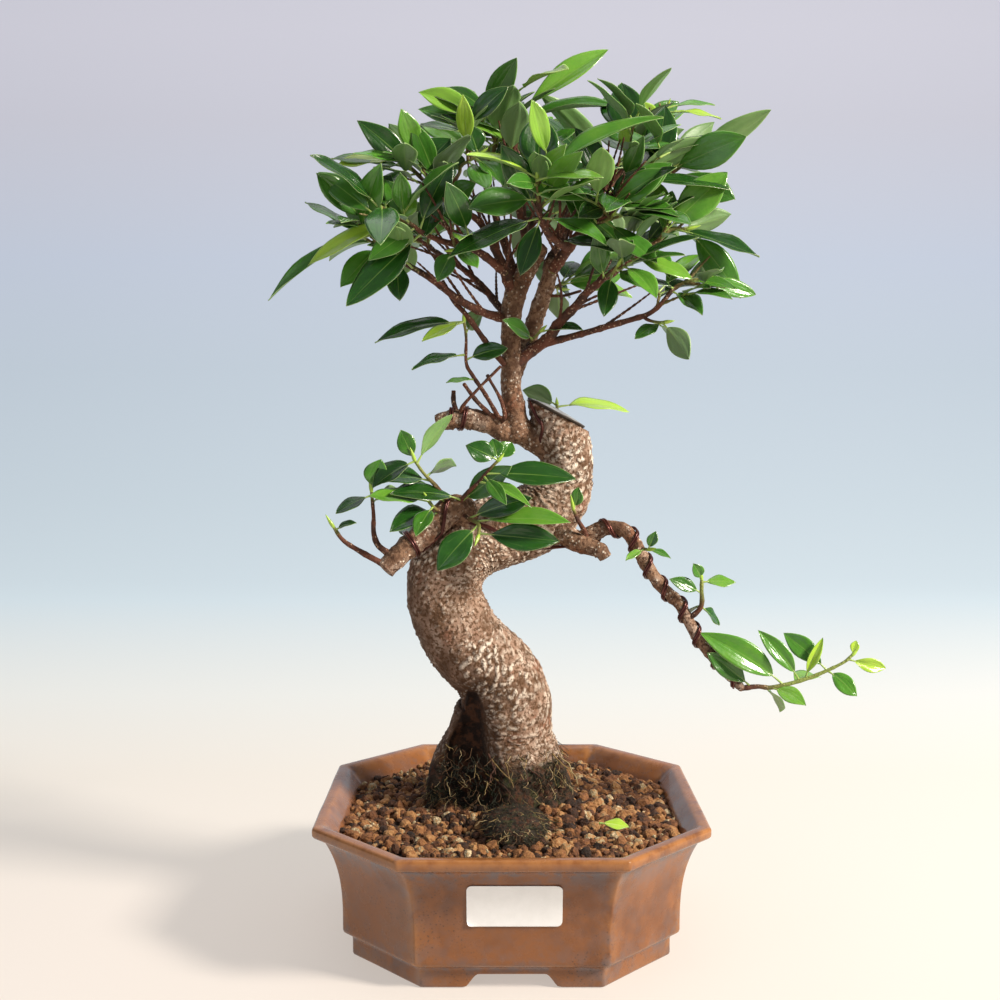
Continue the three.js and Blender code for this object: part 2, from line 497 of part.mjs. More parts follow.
function leaf(base, [, bearing, lift, length, width, side], grow = 0) {
  const turn = THREE.MathUtils.degToRad(bearing);
  const rise = THREE.MathUtils.degToRad(lift);
  const flat = Math.cos(rise);
  const along = new THREE.Vector3(flat * Math.cos(turn), flat * Math.sin(turn), Math.sin(rise));
  const face = FACES[side].clone().addScaledVector(along, -FACES[side].dot(along));
  if (face.length() < EDGE_ON) face.set(-Math.sin(turn), Math.cos(turn), 0);
  face.normalize();
  const across = new THREE.Vector3().crossVectors(along, face);
  const middle = (share) => {
    const here = base.clone().addScaledVector(along, share * length);
    return here.addScaledVector(face, -LEAF_DROOP * length * share * share);
  };
  const rings = [[0, 0], [LEAF_PETIOLE, 0], ...BLADE_STATIONS].map(([share, swell]) => {
    const reach = (swell ? (swell * width) / 2 : STALK_RADIUS) + grow;
    const thick = (swell ? LEAF_THICKNESS / 2 : STALK_RADIUS) + grow;
    return [
      middle(share).addScaledVector(across, reach),
      middle(share).addScaledVector(face, thick),
      middle(share).addScaledVector(across, -reach),
      middle(share).addScaledVector(face, -thick),
    ];
  });
  return loft(rings, middle(1).addScaledVector(along, grow));
}

// ---------------------------------------------------------------- pieces kept clear of each other
const placed = [];

function boxOf(solid) {
  const { min, max } = solid.boundingBox();
  return new THREE.Box3(new THREE.Vector3(...min), new THREE.Vector3(...max));
}

// Cuts a solid back from the grown copies of what is already there.
function clearOf(solid, others) {
  let result = solid;
  for (const other of others) {
    if (boxOf(result).intersectsBox(other.box)) result = result.subtract(other.grown);
  }
  return result;
}

function largestPiece(solid) {
  const pieces = solid.decompose();
  pieces.sort((a, b) => b.volume() - a.volume());
  return pieces[0];
}

function keep(name, solid, grown, material) {
  const entry = { name, solid, grown, box: grown ? boxOf(grown) : null, material };
  placed.push(entry);
  return entry;
}

// ---------------------------------------------------------------- materials
function finish(color, roughness, metalness = 0) {
  return new THREE.MeshStandardMaterial({ color, roughness, metalness });
}
const GLAZE = finish("#8a5a36", 0.35);
const BARK = finish("#8f7a66", 0.85);
const TWIG_BARK = finish("#6d4a38", 0.8);
const FOLIAGE = finish("#2f5a22", 0.4);
const PALE_LEAF = finish("#b9c07a", 0.6);
const PASTE = finish("#77787a", 0.9);
const WIRE = finish("#8a5a3c", 0.45, 0.8);
const SOIL = finish("#5a4634", 1);
const ROOT_MOSS = finish("#3c3a24", 1);
const PLASTIC_MESH = finish("#26282a", 0.6);
const PAPER = finish("#eef0ee", 0.6);

// ---------------------------------------------------------------- the pot
function outline(width, z, inset = 0) {
  const half = width / 2 - inset;
  const flat = CORNER_SHARE * half;
  const corners = [
    [half, -flat], [half, flat], [flat, half], [-flat, half],
    [-half, flat], [-half, -flat], [-flat, -half], [flat, -half],
  ];
  return corners.map(([x, y]) => new THREE.Vector3(x, y, z));
}

function flare(z) {
  const share = THREE.MathUtils.clamp((z - BODY_BOTTOM) / (BODY_TOP - BODY_BOTTOM), 0, 1);
  return share ** FLARE_POWER;
}

function cavityWidth(z) {
  if (z >= BAND_BOTTOM) {
    const share = (z - BAND_BOTTOM) / (POT_HEIGHT - BAND_BOTTOM);
    return THREE.MathUtils.lerp(INNER_TOP_WIDTH, MOUTH_WIDTH, share);
  }
  return THREE.MathUtils.lerp(INNER_FOOT_WIDTH, INNER_TOP_WIDTH, flare(z));
}

// The space inside the pot, drawn in from the walls by some inset.
function cavity(inset = 0) {
  const rings = WALL_STEPS.map((step) => {
    const z = THREE.MathUtils.lerp(FLOOR_TOP, BAND_BOTTOM, step);
    return outline(cavityWidth(z), z, inset);
  });
  rings.push(outline(MOUTH_WIDTH, POT_HEIGHT, inset), outline(MOUTH_WIDTH, POT_HEIGHT + CUT_PAST, inset));
  return loft(rings);
}

function potSolid(grow = 0) {
  const outer = [outline(FOOT_WIDTH, 0, -grow), outline(FOOT_WIDTH, FOOT_HEIGHT, -grow)];
  for (const step of WALL_STEPS) {
    const z = THREE.MathUtils.lerp(BODY_BOTTOM, BODY_TOP, step);
    const width = THREE.MathUtils.lerp(BODY_WIDTH, BODY_TOP_WIDTH, flare(z));
    outer.push(outline(width, z, -grow));
  }
  outer.push(outline(RIM_WIDTH, BAND_BOTTOM, -grow), outline(RIM_WIDTH, POT_HEIGHT - RIM_EDGE, -grow));
  outer.push(outline(RIM_WIDTH - 2 * RIM_EDGE, POT_HEIGHT, -grow));
  const hollowWidth = FOOT_WIDTH - 2 * FOOT_THICKNESS;
  const footHollow = loft([outline(hollowWidth, -CUT_PAST), outline(hollowWidth, FOOT_HEIGHT)]);
  return loft(outer).subtract(cavity(grow)).subtract(footHollow);
}

function notch(turn) {
  const long = FOOT_WIDTH + 2 * CUT_PAST;
  const shape = new THREE.Shape();
  shape.moveTo(-NOTCH_BOTTOM / 2, -CUT_PAST);
  shape.lineTo(NOTCH_BOTTOM / 2, -CUT_PAST);
  shape.lineTo(NOTCH_BOTTOM / 2, 0);
  shape.lineTo(NOTCH_TOP / 2, NOTCH_HEIGHT);
  shape.lineTo(-NOTCH_TOP / 2, NOTCH_HEIGHT);
  shape.lineTo(-NOTCH_BOTTOM / 2, 0);
  const bar = new THREE.ExtrudeGeometry(shape, { depth: long, bevelEnabled: false });
  bar.translate(0, 0, -long / 2);
  bar.rotateX(Math.PI / 2);
  bar.rotateZ(turn);
  return solidOf(bar);
}

function drainHole(x) {
  const length = FLOOR_TOP + 2 * CUT_PAST;
  const hole = new THREE.CylinderGeometry(DRAIN_DIAMETER / 2, DRAIN_DIAMETER / 2, length, 16);
  hole.rotateX(Math.PI / 2);
  hole.translate(x, 0, FLOOR_TOP / 2);
  return solidOf(hole);
}

function makePot() {
  let pot = potSolid().subtract(notch(0)).subtract(notch(Math.PI / 2));
  for (const side of [-1, 1]) pot = pot.subtract(drainHole((side * DRAIN_SPACING) / 2));
  keep("pot", pot, potSolid(FIT_GAP), GLAZE);
}

// A square of plastic mesh lies on the floor over each drain hole.
function makeDrainMesh(name, x) {
  const pitch = MESH_SIZE / (MESH_ROWS + 0.5);
  const plate = new THREE.BoxGeometry(MESH_SIZE, MESH_SIZE, MESH_THICKNESS);
  let sheet = solidOf(plate);
  for (let i = 0; i < MESH_ROWS; i += 1) {
    for (let k = 0; k < MESH_ROWS; k += 1) {
      const opening = new THREE.BoxGeometry(pitch * MESH_OPENING, pitch * MESH_OPENING, 3 * MESH_THICKNESS);
      opening.translate((i - (MESH_ROWS - 1) / 2) * pitch, (k - (MESH_ROWS - 1) / 2) * pitch, 0);
      sheet = sheet.subtract(solidOf(opening));
    }
  }
  const cover = new THREE.BoxGeometry(
    MESH_SIZE + 2 * FIT_GAP, MESH_SIZE + 2 * FIT_GAP, MESH_THICKNESS + 2 * FIT_GAP,
  );
  const place = [x, 0, FLOOR_TOP + FIT_GAP + MESH_THICKNESS / 2];
  keep(name, sheet.translate(place), solidOf(cover).translate(place), PLASTIC_MESH);
}

// A blank paper label on the front wall, leaning with it.
function makeLabel() {
  const x = LABEL_LENGTH / 2 - LABEL_CORNER;
  const y = LABEL_HEIGHT / 2 - LABEL_CORNER;
  const shape = new THREE.Shape();
  shape.absarc(x, y, LABEL_CORNER, 0, Math.PI / 2);
  shape.absarc(-x, y, LABEL_CORNER, Math.PI / 2, Math.PI);
  shape.absarc(-x, -y, LABEL_CORNER, Math.PI, 1.5 * Math.PI);
  shape.absarc(x, -y, LABEL_CORNER, 1.5 * Math.PI, 2 * Math.PI);
  const options = { depth: LABEL_THICKNESS, bevelEnabled: false, curveSegments: 4 };
  const sheet = new THREE.ExtrudeGeometry(shape, options);
  const bottom = LABEL_CENTRE_Z - LABEL_HEIGHT / 2;
  const top = LABEL_CENTRE_Z + LABEL_HEIGHT / 2;
  const wallAt = (z) => THREE.MathUtils.lerp(BODY_WIDTH, BODY_TOP_WIDTH, flare(z)) / 2;
  const lean = Math.atan2(wallAt(top) - wallAt(bottom), LABEL_HEIGHT);
  sheet.rotateX(Math.PI / 2 + lean);
  const needs = [-1, 0, 1].map((end) => {
    const up = (end * LABEL_HEIGHT) / 2;
    return wallAt(LABEL_CENTRE_Z + up * Math.cos(lean)) - up * Math.sin(lean);
  });
  const stand = Math.max(...needs) + LABEL_GAP / Math.cos(lean);
  sheet.translate(LABEL_CENTRE_X, -stand, LABEL_CENTRE_Z);
  const label = largestPiece(clearOf(solidOf(sheet), placed.filter((one) => one.name === "pot")));
  keep("paper_label", label, label, PAPER);
}

// ---------------------------------------------------------------- the trunk and its cut top
function cutPlane(lift) {
  const reach = 4 * CUT_HALF_WIDTH;
  const slab = new THREE.BoxGeometry(reach, reach, reach);
  slab.translate(0, 0, reach / 2 + lift);
  slab.rotateY(CUT_TILT);
  slab.translate(CUT_CENTRE[0], CUT_CENTRE[1], CUT_CENTRE[2] + POT_HEIGHT);
  return solidOf(slab);
}

function hollow() {
  const front = -TRUNK[0][3] - CUT_PAST;
  const rings = HOLLOW.map(([z, x, half, back]) => {
    const corners = [[x - half, front], [x + half, front], [x + half, back], [x - half, back]];
    return corners.map((corner) => point([...corner, z]));
  });
  return loft(rings);
}

function makeTrunk() {
  const body = limb(TRUNK, TRUNK_SIDES).subtract(cutPlane(0)).subtract(hollow());
  const grown = limb(TRUNK, TRUNK_SIDES, FIT_GAP).subtract(cutPlane(FIT_GAP));
  keep("trunk", body, grown, BARK);
  const radius = CUT_HALF_WIDTH + PASTE_OVERHANG;
  const paste = (grow) => {
    const profile = [
      [0, FIT_GAP - grow], [radius + grow, FIT_GAP - grow], [radius + grow, PASTE_THICKNESS * PASTE_EDGE],
      [radius * PASTE_SHOULDER, PASTE_THICKNESS + grow], [0, PASTE_THICKNESS * PASTE_CROWN + grow],
    ];
    const dome = new THREE.LatheGeometry(profile.map(([x, y]) => new THREE.Vector2(x, y)), 16);
    dome.rotateX(Math.PI / 2);
    dome.rotateY(CUT_TILT);
    dome.translate(CUT_CENTRE[0], CUT_CENTRE[1], CUT_CENTRE[2] + POT_HEIGHT);
    return solidOf(dome);
  };
  keep("sealing_paste", paste(0), paste(FIT_GAP), PASTE);
}

function makeRoot() {
  const lump = (grow) => {
    const ball = new THREE.SphereGeometry(1, 14, 9);
    ball.scale(ROOT.halfWidth + grow, ROOT.halfDepth + grow, ROOT.halfHeight + grow);
    const centre = point(ROOT.centre);
    ball.translate(centre.x, centre.y, centre.z);
    return solidOf(ball);
  };
  const body = largestPiece(clearOf(lump(0), placed.filter((one) => one.name === "trunk")));
  keep("mossy_root", body, lump(FIT_GAP), ROOT_MOSS);
}

// ---------------------------------------------------------------- branches, wires and leaves
function makeBranches() {
  for (const [name, { route }] of Object.entries(BRANCHES)) {
    const body = largestPiece(clearOf(limb(route, BRANCH_SIDES), placed));
    keep(name, body, limb(route, BRANCH_SIDES, FIT_GAP), TWIG_BARK);
  }
}

// A wire is a list of wraps: [what it winds round, from share, to share, from angle, to angle].
// The angle is 0 at the front.
const WIRES = {
  wire_stub: [["branch_upper_left", 0.84, 0.6, 0, 600]],
  wire_trunk: [["trunk", 0.975, 0.93, -48, -22], ["trunk", 0.9, 0.82, -50, -250]],
  wire_left: [["branch_lower_left", 0.74, 0.66, -60, 300], ["branch_lower_left", 0.5, 0.3, 360, 450]],
  wire_cascade: [["trunk", 0.6, 0.72, -20, 70], ["branch_cascade", 0.06, 0.97, 40, 2936]],
};

function wireRoute(wraps) {
  const points = [];
  for (const [name, fromShare, toShare, fromAngle, toAngle] of wraps) {
    const route = name === "trunk" ? TRUNK : BRANCHES[name].route;
    const steps = Math.max(2, Math.ceil(Math.abs(toAngle - fromAngle) / WRAP_STEP));
    for (let i = 0; i <= steps; i += 1) {
      const share = THREE.MathUtils.lerp(fromShare, toShare, i / steps);
      const angle = THREE.MathUtils.degToRad(THREE.MathUtils.lerp(fromAngle, toAngle, i / steps));
      const { here, radius, front, side } = placeOn(route, share);
      const reach = radius + WIRE_DIAMETER / 2 + 2 * FIT_GAP;
      here.addScaledVector(front, reach * Math.cos(angle));
      here.addScaledVector(side, reach * Math.sin(angle));
      points.push([here.x, here.y, here.z - POT_HEIGHT, WIRE_DIAMETER / 2]);
    }
  }
  return points;
}

function makeWires() {
  for (const [name, wraps] of Object.entries(WIRES)) {
    const route = wireRoute(wraps);
    const body = largestPiece(clearOf(limb(route, WIRE_SIDES), placed));
    keep(name, body, limb(route, WIRE_SIDES, FIT_GAP), WIRE);
  }
}

// Each branch and its own leaves are one grown piece.
function makeLeaves() {
  for (const [name, { route, leafyFrom = 0, leaves = [] }] of Object.entries(BRANCHES)) {
    if (leaves.length === 0) continue;
    const own = placed.find((one) => one.name === name);
    const others = placed.filter((one) => one !== own);
    const leafy = route.slice(leafyFrom);
    for (const row of leaves) {
      const base = placeOn(leafy, row[0]).here;
      own.solid = own.solid.add(clearOf(leaf(base, row), others));
      own.grown = own.grown.add(leaf(base, row, FIT_GAP));
    }
    own.solid = largestPiece(own.solid);
    own.box = boxOf(own.grown);
    own.material = FOLIAGE;
  }
}

function makeFallenLeaf() {
  const base = point(FALLEN_LEAF.base);
  keep("fallen_leaf", leaf(base, FALLEN_LEAF.leaf), leaf(base, FALLEN_LEAF.leaf, FIT_GAP), PALE_LEAF);
}

// ---------------------------------------------------------------- the soil
function soilTop(x, y) {
  const mound = SOIL_MOUND * Math.exp(-(x * x + y * y) / MOUND_REACH ** 2);
  const front = SOIL_FRONT_RISE * THREE.MathUtils.clamp(-y / (RIM_WIDTH / 2), 0, 1);
  return POT_HEIGHT - SOIL_BELOW_RIM + Math.max(mound, front);
}

// An outline with a point added in the middle of each side.
function fineOutline(width, z) {
  const corners = outline(width, z);
  return corners.flatMap((here, i) => [here, here.clone().lerp(corners[(i + 1) % corners.length], 0.5)]);
}

// A block under the soil's surface, cut to the pot's inside and cleared round all that stands in it.
function makeSoil() {
  const rings = [fineOutline(RIM_WIDTH, 0)];
  for (const share of SOIL_RINGS) {
    const ring = fineOutline(RIM_WIDTH * share, 0);
    for (const place of ring) place.z = soilTop(place.x, place.y);
    rings.push(ring);
  }
  const inside = cavity(FIT_GAP).translate([0, 0, FIT_GAP]);
  const others = placed.filter((one) => one.name !== "pot");
  keep("soil", largestPiece(clearOf(loft(rings).intersect(inside), others)), null, SOIL);
}

// ---------------------------------------------------------------- assembly
makePot();
makeDrainMesh("drain_mesh_left", -DRAIN_SPACING / 2);
makeDrainMesh("drain_mesh_right", DRAIN_SPACING / 2);
makeLabel();
makeTrunk();
makeRoot();
makeBranches();
makeWires();
makeLeaves();
makeFallenLeaf();
makeSoil();

const group = new THREE.Group();
const whole = new THREE.Box3();
for (const { name, solid, material } of placed) {
  const mesh = new THREE.Mesh(geometryOf(solid), material);
  mesh.name = name;
  group.add(mesh);
  whole.union(boxOf(solid));
}
const middle = whole.getCenter(new THREE.Vector3());
group.position.set(-middle.x, -middle.y, -whole.min.z);

export default group;
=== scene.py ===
"""A shohin ficus bonsai in a glazed pot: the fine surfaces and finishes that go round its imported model.

Lengths are millimetres. The plant is laid out about the middle of the pot, with heights from the pot's
rim, as in the model's own source, and Datum turns those places into the frame's metres.
"""

import logging
import math
from dataclasses import dataclass, field
from enum import Enum

import bpy
import numpy as np
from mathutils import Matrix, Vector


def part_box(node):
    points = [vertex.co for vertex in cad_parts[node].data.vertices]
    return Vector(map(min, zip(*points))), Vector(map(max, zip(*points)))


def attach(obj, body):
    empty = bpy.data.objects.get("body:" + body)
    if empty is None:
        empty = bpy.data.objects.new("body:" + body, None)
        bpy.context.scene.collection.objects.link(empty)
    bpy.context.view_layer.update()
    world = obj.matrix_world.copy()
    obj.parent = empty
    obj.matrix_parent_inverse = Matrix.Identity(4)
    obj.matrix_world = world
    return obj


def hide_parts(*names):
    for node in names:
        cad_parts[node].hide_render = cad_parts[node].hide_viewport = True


Array = np.ndarray
Material = bpy.types.Material
Socket = bpy.types.NodeSocket

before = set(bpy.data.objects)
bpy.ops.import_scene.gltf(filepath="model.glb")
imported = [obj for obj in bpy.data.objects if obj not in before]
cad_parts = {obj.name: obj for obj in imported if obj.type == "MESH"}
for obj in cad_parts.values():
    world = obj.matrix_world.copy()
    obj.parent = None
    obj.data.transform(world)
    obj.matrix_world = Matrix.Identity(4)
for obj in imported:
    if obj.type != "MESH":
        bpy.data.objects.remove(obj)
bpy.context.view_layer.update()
BODY = "root"
LOG = logging.getLogger("bonsai")
MM = 0.001
SEED = 1729
SHOULDER_REACH = 0.72
SHOULDER_RISE = 0.7
HASH_SPREADS = (73856093, 19349663, 83492791, 2654435)
HASH_TURNS = (1274126177, 2246822519)
HASH_MASK = 0xFFFFFFFF
SHORT_SIDE = 1e3


# ------------ places and smooth noise
class Datum:
    """The pot's middle and rim in the frame."""

    def __init__(self) -> None:
        """Reads the pot's box from the frame."""
        low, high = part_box("pot")
        self.height = (high[2] - low[2]) / MM
        self.origin = np.array([(low[0] + high[0]) / 2, (low[1] + high[1]) / 2, high[2]])

    def metres(self, points: Array) -> Array:
        """Turns millimetres about the pot's rim into the frame's metres.

        Args:
            points: Places, one row each.

        Returns:
            The same places in metres.
        """
        return np.asarray(points, dtype=float) * MM + self.origin


DATUM = Datum()


def hashed(cells: Array, seed: int) -> Array:
    """Gives each lattice cell its own steady value.

    Args:
        cells: Whole-number cell places, three to a row.
        seed: Which set of values.

    Returns:
        One value from -1 to 1 for each cell.
    """
    spread_x, spread_y, spread_z, spread_seed = HASH_SPREADS
    key = cells[..., 0] * spread_x ^ cells[..., 1] * spread_y ^ cells[..., 2] * spread_z ^ seed * spread_seed
    key = (key & HASH_MASK) * HASH_TURNS[0] & HASH_MASK
    key = (key ^ (key >> 15)) * HASH_TURNS[1] & HASH_MASK
    key = key ^ (key >> 13)
    return (key & 0xFFFF) / 32767.5 - 1


def noise(points: Array, size: float, seed: int = 0) -> Array:
    """Smooth lumps.

    Args:
        points: Places in millimetres.
        size: How far apart the lumps are.
        seed: Which set of lumps.

    Returns:
        One value from -1 to 1 for each place.
    """
    scaled = np.asarray(points, dtype=float) / size + 100.0
    cell = np.floor(scaled).astype(np.int64)
    part = scaled - cell
    part = part * part * (3 - 2 * part)
    total = np.zeros(len(scaled))
    for corner in np.ndindex(2, 2, 2):
        step = np.array(corner)
        share = np.prod(np.where(step, part, 1 - part), axis=1)
        total += share * hashed(cell + step, seed)
    return total


def rough(points: Array, size: float, seed: int = 0, layers: int = 3) -> Array:
    """Lumps with smaller lumps on them.

    Args:
        points: Places in millimetres.
        size: How far apart the largest lumps are.
        seed: Which set of lumps.
        layers: How many sizes, each half the one before.

    Returns:
        One value of about -1 to 1 for each place.
    """
    total = np.zeros(len(points))
    for layer in range(layers):
        total += noise(points, size / 2**layer, seed + layer) / 2**layer
    return total / 1.6


def smooth(value: Array, low: float, high: float) -> Array:
    """Rises smoothly from 0 at low to 1 at high."""
    share = np.clip((np.asarray(value, dtype=float) - low) / (high - low), 0, 1)
    return share * share * (3 - 2 * share)


def unit(vectors: Array) -> Array:
    """Makes each row one long."""
    return vectors / np.maximum(np.linalg.norm(vectors, axis=-1, keepdims=True), 1e-9)


# ------------ meshes
class Draft:
    """Points, faces and per-point values gathered for one piece."""

    def __init__(self) -> None:
        """Starts empty."""
        self.points: list[Array] = []
        self.faces: list[Array] = []
        self.values: list[dict[str, Array]] = []
        self.count = 0
        self.smooth = True

    def add(self, points: Array, faces: list[Array], **values: object) -> None:
        """Adds one part.

        Args:
            points: The part's points in plant millimetres, one row each.
            faces: Arrays of point numbers, one row a face, all rows of an array equally long.
            values: A number, or one number for each point, for each named attribute.
        """
        points = np.asarray(points, dtype=float).reshape(-1, 3)
        self.points.append(points)
        self.faces += [np.asarray(part) + self.count for part in faces if len(part)]
        full = {name: np.broadcast_to(np.asarray(v, dtype=float), len(points)) for name, v in values.items()}
        self.values.append(full)
        self.count += len(points)

    def mesh(self, name: str) -> bpy.types.Mesh:
        """Makes the mesh.

        Args:
            name: The mesh's name.

        Returns:
            The mesh, in metres.
        """
        mesh = bpy.data.meshes.new(name)
        mesh.vertices.add(self.count)
        mesh.vertices.foreach_set("co", DATUM.metres(np.concatenate(self.points)).ravel())
        corners = np.concatenate([part.ravel() for part in self.faces])
        widths = np.concatenate([np.full(len(part), part.shape[1]) for part in self.faces])
        mesh.loops.add(len(corners))
        mesh.loops.foreach_set("vertex_index", corners.astype(np.int32))
        mesh.polygons.add(len(widths))
        mesh.polygons.foreach_set("loop_start", (np.cumsum(widths) - widths).astype(np.int32))
        mesh.polygons.foreach_set("use_smooth", np.full(len(widths), self.smooth))
        mesh.update(calc_edges=True)
        for value in sorted({key for part in self.values for key in part}):
            layer = mesh.attributes.new(value, "FLOAT", "POINT")
            rows = [
                part.get(value, np.zeros(len(points)))
                for part, points in zip(self.values, self.points)
            ]
            layer.data.foreach_set("value", np.concatenate(rows).astype(np.float32))
        return mesh


class Slot(Enum):
    """The record's material slots."""

    POT = "glazed_pot"
    PAPER = "label_paper"
    TRUNK = "trunk_bark"
    BRANCH = "branch_bark"
    PASTE = "sealing_paste"
    ROOT = "mossy_root"
    LEAVES = "leafy_twig"
    FALLEN = "fallen_leaf"
    SOIL = "akadama_soil"
    WIRE = "training_wire"


def place(draft: Draft, name: str, slot: Slot, finish: Material, *nodes: str) -> bpy.types.Object:
    """Puts a piece in the scene, riding on the plant's one body.

    Args:
        draft: The piece's mesh.
        name: The piece's name.
        slot: The record's slot for it; not used.
        finish: Its material.
        nodes: The model's nodes that it stands for.

    Returns:
        The new object.
    """
    mesh = draft.mesh(name)
    mesh.materials.append(finish)
    piece = bpy.data.objects.new(name, mesh)
    bpy.context.scene.collection.objects.link(piece)
    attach(piece, BODY)
    if nodes:
        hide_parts(*nodes)
    LOG.info("%s: %d points", name, draft.count)
    return piece


def strip(rows: int, columns: int, closed: bool = True) -> Array:
    """Faces between rows of points.

    Args:
        rows: How many rows.
        columns: How many points in a row.
        closed: Whether each row's last point joins its first.

    Returns:
        Four point numbers for each face, facing out where rows run along and points turn about them.
    """
    row = np.arange(rows - 1)[:, None] * columns
    column = np.arange(columns if closed else columns - 1)[None, :]
    after = (column + 1) % columns
    quads = np.stack([row + column, row + after, row + columns + after, row + columns + column], axis=-1)
    return quads.reshape(-1, 4)


def fan(first: int, columns: int, tip: int, flip: bool = False) -> Array:
    """Triangles from a ring of points to one tip.

    Args:
        first: The ring's first point number.
        columns: How many points in the ring.
        tip: The tip's point number.
        flip: Turns the faces over.

    Returns:
        Three point numbers for each face.
    """
    here = first + np.arange(columns)
    after = first + (np.arange(columns) + 1) % columns
    rows = [after, here, np.full(columns, tip)] if flip else [here, after, np.full(columns, tip)]
    return np.stack(rows, axis=1)


class Route:
    """A smooth centre line with a radius and a frame at each step."""

    def __init__(self, rows: tuple, step: float) -> None:
        """Runs a curve through the rows.

        Args:
            rows: (x, y, z, radius) and perhaps a depth share, in order.
            step: The distance between two points of the curve.
        """
        knots = np.array([tuple(row) + (1,) * (5 - len(row)) for row in rows], dtype=float)
        ends = np.vstack([2 * knots[0] - knots[1], knots, 2 * knots[-1] - knots[-2]])
        parts = []
        for before, here, after, later in zip(ends, ends[1:], ends[2:], ends[3:]):
            count = max(2, int(np.linalg.norm(after[:3] - here[:3]) / step))
            t = (np.arange(count) / count)[:, None]
            curl = (3 * (here - after) + later - before) * t * t
            bend = (2 * before - 5 * here + 4 * after - later) * t + curl
            parts.append(here + 0.5 * t * (after - before + bend))
        line = np.vstack([*parts, knots[-1:]])
        self.centres = line[:, :3]
        self.radii = line[:, 3]
        self.depths = line[:, 4]
        steps = np.linalg.norm(np.diff(self.centres, axis=0), axis=1)
        self.runs = np.concatenate([[0], np.cumsum(steps)])
        self.length = self.runs[-1]
        self.alongs = unit(np.gradient(self.centres, axis=0))
        front = np.array([0.0, -1.0, 0.0])
        fronts = []
        for along in self.alongs:
            front = unit(front - along * front.dot(along))
            fronts.append(front)
        self.fronts = np.array(fronts)
        self.sides = np.cross(self.alongs, self.fronts)

    def at(self, share: float) -> dict[str, Array]:
        """Finds one place.

        Args:
            share: How far along, from 0 to 1.

        Returns:
            The centre, radius, front, side and along there.
        """
        rows = {"centre": self.centres, "front": self.fronts, "side": self.sides, "along": self.alongs}
        run = share * self.length
        found = {
            name: np.array([np.interp(run, self.runs, table[:, axis]) for axis in range(3)])
            for name, table in rows.items()
        }
        found["radius"] = np.interp(run, self.runs, self.radii)
        return found

    def rings(self, sides: int, wobble: Array | float = 0.0) -> Array:
        """Rings of points round the curve, angle 0 at the front.

        Args:
            sides: Points in a ring.
            wobble: What is added to the radius, one value or one for each point of each ring.

        Returns:
            Points of shape (rings, sides, 3).
        """
        angle = np.arange(sides) * 2 * math.pi / sides
        reach = self.radii[:, None] + wobble
        across = (reach * np.sin(angle))[..., None] * self.sides[:, None]
        forward = (reach * self.depths[:, None] * np.cos(angle))[..., None] * self.fronts[:, None]
        return self.centres[:, None] + across + forward


def capped(rings: Array, round_by: float = 0.4) -> tuple[Array, list[Array]]:
    """Closes both ends of a tube with low domes.

    Args:
        rings: Points of shape (rings, sides, 3).
        round_by: Height of a dome as a share of the end's radius.

    Returns:
        The points and the faces.
    """
    count, sides, _ = rings.shape
    points = [rings.reshape(-1, 3)]
    faces = [strip(count, sides)]
    for end, inner in ((0, 1), (count - 1, count - 2)):
        centre = rings[end].mean(axis=0)
        out = unit(centre - rings[inner].mean(axis=0))
        radius = np.linalg.norm(rings[end] - centre, axis=1).mean()
        shoulder = centre + (rings[end] - centre) * SHOULDER_REACH + out * radius * round_by * SHOULDER_RISE
        first = sum(len(part) for part in points)
        points += [shoulder, (centre + out * radius * round_by)[None]]
        ring = end * sides + np.arange(sides)
        lid = first + np.arange(sides)
        quads = np.stack([ring, np.roll(ring, -1), np.roll(lid, -1), lid], axis=1)
        faces.append(quads if end else quads[:, ::-1])
        faces.append(fan(first, sides, first + sides, flip=end == 0))
    return np.vstack(points), faces


# ------------ finishes
def linear(colour: str, alpha: float = 1.0) -> tuple[float, float, float, float]:
    """Turns an sRGB hex colour into the linear one that shaders take.

    Args:
        colour: Such as "#8a5730".
        alpha: The fourth value.

    Returns:
        Red, green, blue and alpha.
    """
    shares = [int(colour[i : i + 2], 16) / 255 for i in (1, 3, 5)]
    return (*(s / 12.92 if s <= 0.04045 else ((s + 0.055) / 1.055) ** 2.4 for s in shares), alpha)


def add(
    tree: bpy.types.NodeTree, kind: str, inputs: dict | None = None, stops: tuple = (), **settings: object
) -> bpy.types.Node:
    """Adds a shader node.

    Args:
        tree: The material's node tree.
        kind: The node's type without its "ShaderNode" prefix.
        inputs: A value, a hex colour or another node's output for each socket name or number.
        stops: A colour ramp's (place, hex colour) pairs.
        settings: The node's own properties.

    Returns:
        The node.
    """
    node = tree.nodes.new("ShaderNode" + kind)
    for name, value in settings.items():
        setattr(node, name, value)
    for socket, value in (inputs or {}).items():
        if isinstance(value, Socket):
            tree.links.new(value, node.inputs[socket])
        else:
            node.inputs[socket].default_value = linear(value) if isinstance(value, str) else value
    if stops:
        band = node.color_ramp.elements
        while len(band) < len(stops):
            band.new(0.5)
        for element, (where, colour) in zip(band, stops):
            element.position = where
            element.color = linear(colour)
    return node


